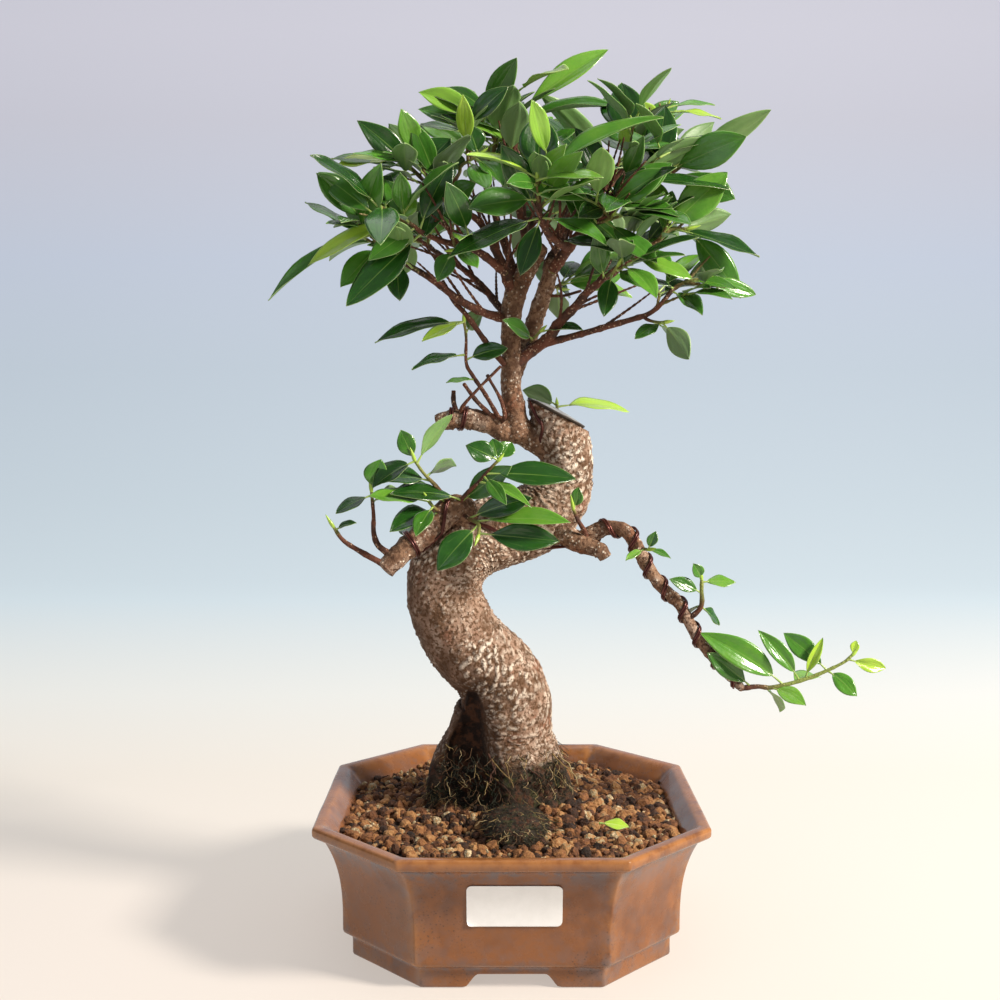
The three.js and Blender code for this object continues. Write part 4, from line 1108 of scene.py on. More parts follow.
@dataclass
class SoilBed:
    """The clay grains, heaped a little round the trunk and towards the front wall."""

    below_rim: float = 8.0
    mound: float = 7.0
    mound_reach: float = 48.0
    front_rise: float = 5.5
    pitch: float = 3.0
    grain: float = 1.8
    trunk_clear: tuple = (31.0, 20.0)

    def top(self, points: Array, pot: Pot) -> Array:
        """The heap's height about the rim.

        Args:
            points: Places (x, y).
            pot: The pot that holds it.

        Returns:
            One height for each place.
        """
        mound = self.mound * np.exp(-(points**2).sum(axis=1) / self.mound_reach**2)
        front = self.front_rise * np.clip(-points[:, 1] / (pot.rim_width / 2), 0, 1)
        return np.maximum(mound, front) - self.below_rim

    def inside(self, points: Array, half: float, pot: Pot) -> Array:
        """Whether each place is within an eight-sided outline.

        Args:
            points: Places (x, y).
            half: The outline's half width.
            pot: The pot whose corners it follows.

        Returns:
            One answer for each place.
        """
        size = np.abs(points)
        diagonal = half * (1 + pot.corner_share)
        return (size.max(axis=1) < half) & (size.sum(axis=1) < diagonal)

    def bed(self, pot: Pot) -> Draft:
        """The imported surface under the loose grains.

        Args:
            pot: The pot that holds it.

        Returns:
            One closed skin.
        """
        draft = Draft()
        depth = self.below_rim - 1.5
        rings, fillet = [], 4.0
        half = pot.inner_half(pot.height - depth) - 0.4
        for share in np.linspace(1, 0.03, 44):
            points, _, _ = pot.ring(half * share, max(fillet * share, 0.1))
            rings.append(points)
        columns = len(rings[0])
        flat = np.concatenate(rings)
        height = self.top(flat, pot) - 1.9
        points = np.column_stack([flat, height])
        points[:, 2] += 0.9 * rough(points, 5, 40)
        wall = [
            np.column_stack([pot.ring(pot.inner_half(z) - 0.5, fillet)[0], np.full(columns, z - pot.height)])
            for z in (pot.floor_top + 0.8, 30, 45)
        ]
        order = np.vstack([*wall, points])
        count = len(order) // columns
        tips = [[0, 0, wall[0][0, 2]], [0, 0, points[-1, 2]]]
        faces = [strip(count, columns), fan(0, columns, len(order), flip=True),
                 fan((count - 1) * columns, columns, len(order) + 1)]
        # The bed's tone sits below the grains', so the ramp paints it near-black: a painted shade in the gaps
        # between the grains.
        draft.add(np.vstack([order, tips]), faces, tone=-0.1)
        return draft

    def lumps(self) -> tuple[Array, Array]:
        """A round lump, from an icosahedron with each side cut in four.

        Returns:
            Its points and its faces.
        """
        golden = (1 + 5**0.5) / 2
        corners = [(-1, golden, 0), (1, golden, 0), (-1, -golden, 0), (1, -golden, 0)]
        points = [unit(np.array(c, dtype=float)) for s in range(3) for c in (np.roll(k, s) for k in corners)]
        table = np.array(points)
        faces = []
        edge = np.sort(np.linalg.norm(table[0] - table, axis=1))[1] * 1.01
        for a in range(12):
            for b in range(a + 1, 12):
                for c in range(b + 1, 12):
                    trio = table[[a, b, c]]
                    if max(np.linalg.norm(trio - np.roll(trio, 1, axis=0), axis=1)) < edge:
                        turned = np.dot(np.cross(trio[1] - trio[0], trio[2] - trio[0]), trio[0]) < 0
                        faces.append((a, c, b) if turned else (a, b, c))
        middles: dict[tuple[int, int], int] = {}

        def middle(a: int, b: int) -> int:
            """The point number half way between two points.

            Args:
                a: One point's number.
                b: The other's.

            Returns:
                The middle point's number.
            """
            key = (min(a, b), max(a, b))
            if key not in middles:
                middles[key] = len(points)
                points.append(unit(points[a] + points[b]))
            return middles[key]

        fine = []
        for a, b, c in faces:
            ab, bc, ca = middle(a, b), middle(b, c), middle(c, a)
            fine += [(a, ab, ca), (b, bc, ab), (c, ca, bc), (ab, bc, ca)]
        return np.array(points), np.array(fine)

    def grains(self, pot: Pot) -> tuple[Draft, Draft]:
        """Scatters the loose grains in three layers.

        Args:
            pot: The pot that holds them.

        Returns:
            Those in front and those behind.
        """
        front, back = Draft(), Draft()
        draw = np.random.default_rng(SEED)
        ball, faces = self.lumps()
        half = pot.inner_half(pot.height - self.below_rim + 2)
        columns = np.arange(-half, half, self.pitch)
        rows = np.arange(-half, half, self.pitch * 0.88)
        grid = np.array([(x + (k % 2) * self.pitch / 2, y) for k, y in enumerate(rows) for x in columns])
        layers = [(grid, 0.0, 1.0), (grid[draw.random(len(grid)) < 0.2], 1.7, 1.35)]
        layers.append((grid[draw.random(len(grid)) < 0.14], 1.1, 0.62))
        for spots, lift, swell in layers:
            spots = spots + draw.uniform(-0.42, 0.42, spots.shape) * self.pitch
            coarse = 1 + 0.25 * (spots[:, 0] > 20)
            size = self.grain * swell * draw.uniform(0.62, 1.3, len(spots)) * coarse
            height = self.top(spots, pot)
            for spot, radius, level in zip(spots, size, height):
                tilt = draw.normal(size=(3, 3))
                shape = draw.uniform(0.72, 1.15, 3)
                knobs = draw.normal(size=(5, 3))
                tone = draw.beta(1.3, 1.4)
                reach = half - radius - 0.2
                if not self.inside(spot[None], reach, pot)[0]:
                    continue
                if (spot[0] / self.trunk_clear[0]) ** 2 + ((spot[1] - 4) / self.trunk_clear[1]) ** 2 < 1:
                    continue
                turn = np.linalg.qr(tilt)[0]
                chips = unit(draw.normal(size=(9, 3)))
                flats = (draw.uniform(0.66, 0.95, 9) / np.clip(ball @ chips.T, 0.05, None)).min(axis=1)
                bumps = np.minimum(1.08 + 0.1 * np.tanh(2.6 * ball @ unit(knobs).T).sum(axis=1) / 1.6, flats)
                bumps = bumps + draw.normal(0, 0.035, len(ball))
                points = (ball * bumps[:, None] * shape * radius * 1.12) @ turn
                centre = (spot[0], spot[1], level - 0.75 * radius + lift)
                order = faces if np.linalg.det(turn) > 0 else faces[:, ::-1]
                (front if spot[1] < 0 else back).add(points + centre, [order], tone=tone)
        return front, back

    def build(self, pot: Pot, finish: Material) -> None:
        """Makes the bed and the grains.

        Args:
            pot: The pot that holds them.
            finish: The clay.
        """
        place(self.bed(pot), "akadama_bed", Slot.SOIL, finish, "soil")
        front, back = self.grains(pot)
        front.smooth = back.smooth = False
        place(front, "akadama_grains_front", Slot.SOIL, finish, "soil")
        place(back, "akadama_grains_back", Slot.SOIL, finish, "soil")


# ------------ the trunk
@dataclass
class Trunk:
    """The swept trunk: corky bark, a dark hollow at its foot and a slanting cut on top."""

    rows: tuple = (
        (-6, 4, -12, 40, 0.62), (-6, 4, -1, 34.5, 0.62), (-7, 4, 14, 33, 0.66), (-6.5, 3, 31, 28, 0.74),
        (-4, 1, 46, 23, 0.85), (-9, -1, 61, 20.5, 0.95), (-22, -3, 76, 19.3, 1), (-30, -4, 91, 18.3, 1),
        (-32, -4, 103, 17.8, 1), (-28, -3, 115, 17.8, 1), (-18, 0, 124, 17.6, 1), (-3, 3, 129, 17.2, 1),
        (12, 5, 135, 17, 1), (22, 6, 145, 15.6, 1), (26, 5, 157, 13.2, 1), (26, 3, 168, 12.4, 1),
        (23, 2, 180, 13.2, 1), (21, 2, 198, 13.4, 1),
    )
    cut_centre: tuple = (21, 2, 185)
    cut_tilt: float = math.radians(27)
    sides: int = 204
    step: float = 0.62
    warts: int = 11000
    wart_size: float = 1.12
    wart_height: float = 0.62
    hollow_rows: tuple = (
        (1, -23.5, 13, -2), (16, -22.5, 12.5, -3), (31, -20.5, 9, -6), (47, -18, 5, -12),
        (56, -18.5, 2.2, -16),
    )
    pinch_depth: float = 5.0
    bright_side: tuple = (0.85, -0.35, 0.4)
    route: Route = field(init=False)

    def __post_init__(self) -> None:
        """Runs the trunk's centre line."""
        self.route = Route(self.rows, self.step)

    def hollow(self, points: Array) -> tuple[Array, Array]:
        """The hollow at the trunk's foot, open to the front, with a steep left side.

        Args:
            points: Places on the bark.

        Returns:
            How deep in the hollow each place is, from 0 to 1, and how far back its floor lies there.
        """
        x, y, z = points.T
        level, middle, half, back = np.array(self.hollow_rows).T
        across = (x - np.interp(z, level, middle)) / np.interp(z, level, half)
        steep, gentle = np.exp(-(across**6)), np.exp(-(np.abs(0.95 * across) ** 3))
        inside = np.where(across < 0, steep, gentle)
        inside = inside * smooth(-y, -6, 0) * smooth(z, -9, 1) * (1 - smooth(z, 51, 58))
        return inside, np.interp(z, level, back)

    def pinch(self, points: Array, angle: Array) -> Array:
        """How far the bark draws in beside the hollow.

        Args:
            points: Places on the bark.
            angle: Each place's angle round the trunk.

        Returns:
            One depth in millimetres for each place.
        """
        turned = (angle + math.pi) % (2 * math.pi) - math.pi
        beside = np.exp(-(((turned + math.radians(98)) / math.radians(38)) ** 2))
        return self.pinch_depth * beside * np.exp(-(((points[:, 2] - 36) / 13) ** 2))

    def damp(self, points: Array, out: Array) -> Array:
        """How much painted shade darkens the bark, 0 to 1: most at the foot, on the side away from the light.

        Args:
            points: Places on the bark.
            out: Which way each place faces.

        Returns:
            One value for each place.
        """
        away = -(out @ np.array(self.bright_side)) + 0.25 * noise(points, 14, 91)
        foot = 0.9 * smooth(away, -0.72, -0.2) * (1 - smooth(points[:, 2], 52, 84))
        return np.maximum(foot, 0.6 * smooth(away, -0.05, 0.6))

    def flutes(self, points: Array, angle: Array) -> Array:
        """The root flare's folds near the soil."""
        low = 1 - smooth(points[:, 2], -4, 30)
        return low * (2.6 * np.sin(angle * 5 + 0.6) + 1.6 * np.sin(angle * 9 + points[:, 2] * 0.1))

    def lenticels(self) -> Array:
        """Scatters corky warts, each a low oval across the bark.

        Returns:
            Heights from 0 to 1 on the trunk's grid.
        """
        draw = np.random.default_rng(SEED + 1)
        rows, columns = len(self.route.centres), self.sides
        grown = np.zeros((rows, columns))
        taken = np.full((self.warts, 3), 1e6)
        count = 0
        for _ in range(self.warts):
            run = draw.uniform(0, self.route.length)
            row = int(np.searchsorted(self.route.runs, run).clip(0, rows - 1))
            radius, height_here = self.route.radii[row], self.route.centres[row, 2]
            angle = draw.uniform(0, 2 * math.pi)
            crowd = noise(np.array([[run, angle * 18, 5.0]]), 17, 70)[0]
            right = (math.sin(angle) > -0.3 and height_here < 75) or height_here > 130
            long_side = self.wart_size * draw.uniform(0.5, 1.2) * (1.15 if right else 0.75)
            aspect = draw.uniform(1.1, 2.0) * (1.25 if right else 1)
            if draw.random() > (0.85 if right else 0.42) + 0.75 * crowd:
                continue
            reach = long_side * math.sqrt(aspect)
            far = np.abs(taken[:, 1] - angle)
            gap = np.hypot(taken[:, 0] - run, np.minimum(far, 2 * math.pi - far) * radius)
            if (gap < 0.86 * (reach + taken[:, 2])).any():
                continue
            taken[count] = run, angle, reach
            count += 1
            lean = draw.normal(0.2, 0.42)
            span = int(1.2 * long_side * aspect / self.step) + 2
            near = np.arange(max(row - span, 0), min(row + span, rows))
            width = 2 * math.pi * radius / columns
            spread = int(1.2 * long_side * aspect / width) + 2
            around = np.arange(-spread, spread + 1)
            turned = angle / (2 * math.pi) * columns
            column = int(turned)
            across = (around[None, :] - (turned - column)) * width
            along = (self.route.runs[near] - run)[:, None]
            u = across * math.cos(lean) + along * math.sin(lean)
            v = -across * math.sin(lean) + along * math.cos(lean)
            oval = (u / (long_side * aspect)) ** 2 + (v / long_side) ** 2
            height = np.clip(1 - oval, 0, 1) ** 0.6 * draw.uniform(0.6, 1)
            index = np.ix_(near, (column + around) % columns)
            grown[index] = np.maximum(grown[index], height)
        return grown

    def build(self, finish: Material) -> None:
        """Makes the trunk.

        Args:
            finish: Its bark.
        """
        route, sides = self.route, self.sides
        rows = len(route.centres)
        plain = route.rings(sides).reshape(-1, 3)
        angle = np.tile(np.arange(sides) * 2 * math.pi / sides, rows)
        out = unit(plain - np.repeat(route.centres, sides, axis=0))
        warts = self.lenticels().ravel()
        hollow, back = self.hollow(plain)
        shaggy = 1 - smooth(plain[:, 2], 2, 22)
        tone = 0.38 + 0.57 * smooth(noise(plain, 15, 61), -0.3, 0.5)
        # Painted shade on the side away from the light dims the pale lenticels too.
        damp = self.damp(plain, out)
        tone *= 1 - 0.62 * damp
        warts *= (1 - smooth(hollow, 0.15, 0.5)) * (1 - 0.8 * shaggy)
        swell = 1.1 * rough(plain, 19, 11) + 0.42 * rough(plain, 4.2, 15) + 0.2 * rough(plain, 1.4, 19, 2)
        swell += self.flutes(plain, angle) * 0.55 + shaggy * 1.3 * rough(plain, 3.2, 23, 3)
        swell += self.wart_height * warts * (1 - 0.5 * shaggy)
        swell -= self.pinch(plain, angle)
        waves = np.sin(np.repeat(route.runs, sides) / 7.5 + noise(plain, 9, 31) * 0.8)
        rings = 0.35 * np.exp(-((waves / 0.18) ** 2))
        swell -= rings * (1 - warts)
        points = plain + out * swell[:, None]
        back = back + 2.2 * rough(plain, 6, 41, 3)
        points[:, 1] += hollow * np.clip(back - points[:, 1], 0, None)
        height = self.cut_centre[2] - (points[:, 0] - self.cut_centre[0]) * math.tan(self.cut_tilt)
        points[:, 2] = np.minimum(points[:, 2], height - 0.1)
        wavy = 6 * rough(plain, 11, 27, 3)
        front = smooth(-plain[:, 1], -12, 12)
        moss = 1 - smooth(plain[:, 2] + wavy, 6 + 7 * front, 14 + 9 * front)
        shape = points.reshape(rows, sides, 3)
        keep = shape[:, :, 2].max(axis=1) > shape[:, :, 2].min(axis=1) - 1
        faces_points, faces = capped(shape[keep], 0.0)
        extra = np.zeros(len(faces_points) - len(points))
        draft = Draft()
        draft.add(
            faces_points, faces,
            lenticel=np.concatenate([smooth(warts, 0.1, 0.6) * tone, extra]),
            hollow=np.concatenate([smooth(hollow, 0.1, 0.75), extra]),
            moss=np.concatenate([0.92 * np.clip(moss, 0, 1), extra]),
            damp=np.concatenate([damp, extra]),
        )
        place(draft, "ficus_trunk", Slot.TRUNK, finish, "trunk")


@dataclass
class SealedCut:
    """Grey putty over the trunk's cut top."""

    centre: tuple = (21, 2, 185)
    tilt: float = math.radians(27)
    radius: float = 15.0
    thickness: float = 2.4
    rolled: float = 0.35

    def build(self, finish: Material) -> None:
        """Makes the cap.

        Args:
            finish: The putty.
        """
        around, steps = 96, 26
        angle = np.arange(around) * 2 * math.pi / around
        rows = []
        rims = []
        for k in range(steps):
            share = k / (steps - 1)
            turn = min(share / self.rolled, 1) * math.pi / 2
            edge = 1 - 0.06 * (1 - math.sin(turn))
            height = 0.55 * (1 - math.cos(turn))
            if share > self.rolled:
                inward = (share - self.rolled) / (1 - self.rolled)
                edge = 1 - 0.985 * inward
                height = 0.55 + 0.6 * math.sin(inward * math.pi / 2)
            lobes = 1 + 0.035 * np.sin(angle * 3 + 1) + 0.025 * np.sin(angle * 7)
            lobes += 0.012 * np.sin(angle * 13)
            reach = self.radius * edge * lobes
            rows.append(np.column_stack([reach * np.cos(angle), reach * np.sin(angle) * 0.98,
                                         np.full(around, height * self.thickness)]))
            rims.append(np.full(around, 1 - float(smooth(share, 0.34, 0.43))))
        flat = np.concatenate(rows)
        flat[:, 2] += 0.35 * rough(flat, 6, 81) * smooth(flat[:, 2], 0.4, 1.6)
        tips = [[0, 0, 0], [0, 0, flat[-1, 2]]]
        points = np.vstack([flat, tips])
        cos, sin = math.cos(self.tilt), math.sin(self.tilt)
        turned = np.column_stack([
            points[:, 0] * cos + points[:, 2] * sin, points[:, 1], -points[:, 0] * sin + points[:, 2] * cos,
        ])
        faces = [strip(steps, around), fan(0, around, len(flat), flip=True),
                 fan((steps - 1) * around, around, len(flat) + 1)]
        draft = Draft()
        draft.add(turned + self.centre, faces, rim=np.concatenate([*rims, [1, 0]]))
        place(draft, "cut_paste_cap", Slot.PASTE, finish, "sealing_paste")


def strand(
    start: Array, bearing: float, length: float, radius: float, draw: np.random.Generator, fall: float,
    curl: float = 0.5,
) -> list[tuple[float, float, float, float]]:
    """A wandering thin root.

    Args:
        start: Where it begins.
        bearing: Which way it sets off, in radians.
        length: How long it is.
        radius: Its half thickness.
        draw: The random source.
        fall: How much it drops for each millimetre.
        curl: How much it wanders.

    Returns:
        Route rows (x, y, z, radius).
    """
    count = 7
    rows = []
    here = np.array(start, dtype=float)
    for k in range(count):
        rows.append((*here, radius * (1 - 0.5 * k / count)))
        bearing += draw.normal(0, curl)
        pace = length / count
        here = here + pace * np.array([math.cos(bearing), math.sin(bearing), -fall + draw.normal(0, 0.25)])
    return rows


@dataclass
class MossyRoot:
    """The surface root before the trunk, under moss and hair roots, and the tangle on the trunk's foot."""

    centre: tuple = (2, -42, -2)
    half: tuple = (15, 23, 7)
    root_share: float = 0.45
    hairs: int = 760
    tufts: int = 2600
    ropes: int = 14

    def surface(self, points: Array) -> Array:
        """Roughens a unit ball into the root.

        Args:
            points: The ball's points.

        Returns:
            The root's points.
        """
        lump = points * self.half
        swell = 1.5 * rough(lump, 7, 51, 3) + 0.6 * rough(lump, 2, 55, 2)
        return lump + unit(lump) * swell[:, None] + self.centre

    def ball(self, rings: int, around: int) -> tuple[Array, list[Array]]:
        """A unit ball as rings and two tips.

        Args:
            rings: How many rings.
            around: How many points in a ring.

        Returns:
            Its points and faces.
        """
        polar = np.linspace(0, math.pi, rings + 2)[1:-1]
        turn = np.arange(around) * 2 * math.pi / around
        ring = [
            np.column_stack([np.sin(p) * np.cos(turn), np.sin(p) * np.sin(turn), np.full(around, -np.cos(p))])
            for p in polar
        ]
        points = np.vstack([*ring, [[0, 0, -1], [0, 0, 1]]])
        last = (rings - 1) * around
        faces = [strip(rings, around), fan(0, around, rings * around, flip=True),
                 fan(last, around, rings * around + 1)]
        return points, faces

    def foot(self, trunk: Trunk, share: float, angle: float, swell: float = 1.0) -> Array:
        """Finds a place on the trunk's foot.

        Args:
            trunk: The trunk.
            share: How far up it, as a share of its length.
            angle: How far round it from the front, in radians.
            swell: How far out, as a share of its radius.

        Returns:
            The place.
        """
        spot = trunk.route.at(share)
        reach = spot["radius"] * swell
        depth = np.interp(share * trunk.route.length, trunk.route.runs, trunk.route.depths)
        beside = spot["centre"] + reach * math.sin(angle) * spot["side"]
        return beside + reach * depth * math.cos(angle) * spot["front"]

    def tangle(self, trunk: Trunk, draw: np.random.Generator) -> Draft:
        """Grows the hair roots and the thicker ones among them.

        Args:
            trunk: The trunk whose foot they grow on too.
            draw: The random source.

        Returns:
            All of them.
        """
        tangle = Draft()
        for _ in range(self.hairs):
            if draw.random() < self.root_share:
                way = unit(np.append(draw.normal(size=2), abs(draw.normal()) + 0.4)[None])
                start, fall = self.surface(way)[0], 0.25
            else:
                angle = draw.uniform(-1.9, 2.2)
                share = draw.uniform(0.045, 0.16 if angle > -1 else 0.085)
                start, fall = self.foot(trunk, share, angle, 1.02), 0.5
            bearing, length, radius = draw.uniform(-2.6, -0.5), draw.uniform(3, 12), draw.uniform(0.1, 0.2)
            rows = strand(start, bearing, length, radius, draw, fall)
            tone = draw.choice([0.1, 0.35, 0.55, 0.8, 1.0], p=[0.3, 0.2, 0.27, 0.15, 0.08])
            tangle.add(*capped(Route(rows, 1.0).rings(5)), tone=tone)
        for _ in range(self.ropes):
            angle = draw.uniform(-0.25, 1.5)
            spot = trunk.route.at(draw.uniform(0.1, 0.15))
            out = math.sin(angle) * spot["side"] + 0.66 * math.cos(angle) * spot["front"]
            start = spot["centre"] + spot["radius"] * out
            bearing, length, radius = draw.uniform(-1.6, 0.2), draw.uniform(8, 18), draw.uniform(0.22, 0.45)
            rows = strand(start, bearing, length, radius, draw, 0.8, 0.3)
            tangle.add(*capped(Route(rows, 1.0).rings(6)), tone=draw.choice([0.5, 0.7, 0.9]))
        return tangle

    def moss(self, trunk: Trunk, draw: np.random.Generator) -> Draft:
        """Grows the moss, each tuft a narrow spike on three sides.

        Args:
            trunk: The trunk whose foot it grows on too.
            draw: The random source.

        Returns:
            All the tufts.
        """
        moss = Draft()
        for _ in range(self.tufts):
            if draw.random() < self.root_share:
                way = unit(np.append(draw.normal(size=2), abs(draw.normal()) * 0.8)[None])
                start = self.surface(way)[0]
                out = way[0]
            else:
                angle = draw.uniform(-2.4, 2.6)
                share = draw.uniform(0.04, 0.125 if angle > -1 else 0.075)
                spot = trunk.route.at(share)
                out = math.sin(angle) * spot["side"] + math.cos(angle) * spot["front"]
                start = self.foot(trunk, share, angle)
            lean = unit((out + draw.normal(0, 0.6, 3))[None])[0]
            reach = draw.uniform(0.9, 2.2)
            across = unit(np.cross(lean, draw.normal(size=3))[None])[0] * draw.uniform(0.15, 0.32)
            other = np.cross(lean, across)
            base = np.array([start + across, start - across * 0.5 + other, start - across * 0.5 - other])
            spike = np.vstack([base - lean * 0.8, (start + lean * reach)[None]])
            sides = np.array([[0, 1, 3], [1, 2, 3], [2, 0, 3], [0, 2, 1]])
            moss.add(spike, [sides], tone=draw.choice([0.05, 0.22, 0.35, 0.5], p=[0.5, 0.15, 0.15, 0.2]))
        return moss

    def build(self, trunk: Trunk, bark: Material, fibre: Material) -> None:
        """Makes the root, its moss and the hair roots.

        Args:
            trunk: The trunk whose foot is covered too.
            bark: What shows between the moss.
            fibre: The moss and the strands.
        """
        draw = np.random.default_rng(SEED + 2)
        ball, faces = self.ball(70, 110)
        draft = Draft()
        draft.add(self.surface(ball), faces, moss=0.95)
        place(draft, "surface_root", Slot.ROOT, bark, "mossy_root")
        place(self.tangle(trunk, draw), "hair_roots", Slot.ROOT, fibre, "mossy_root")
        place(self.moss(trunk, draw), "moss_tufts", Slot.ROOT, fibre, "mossy_root")


# ------------ branches and leaves
@dataclass(frozen=True)
class Branch:
    """One branch: its route (x, y, z, radius), the row that its leafy part begins at, and its leaves.

    Its foot is the rows that lead out of the wood that it grows from. A leaf is (place along the leafy
    part, bearing, lift, length, width, and two letters: the side that its face turns to and its tint).
    """

    route: tuple
    leafy_from: int = 0
    foot: tuple = ()
    leaves: tuple = ()


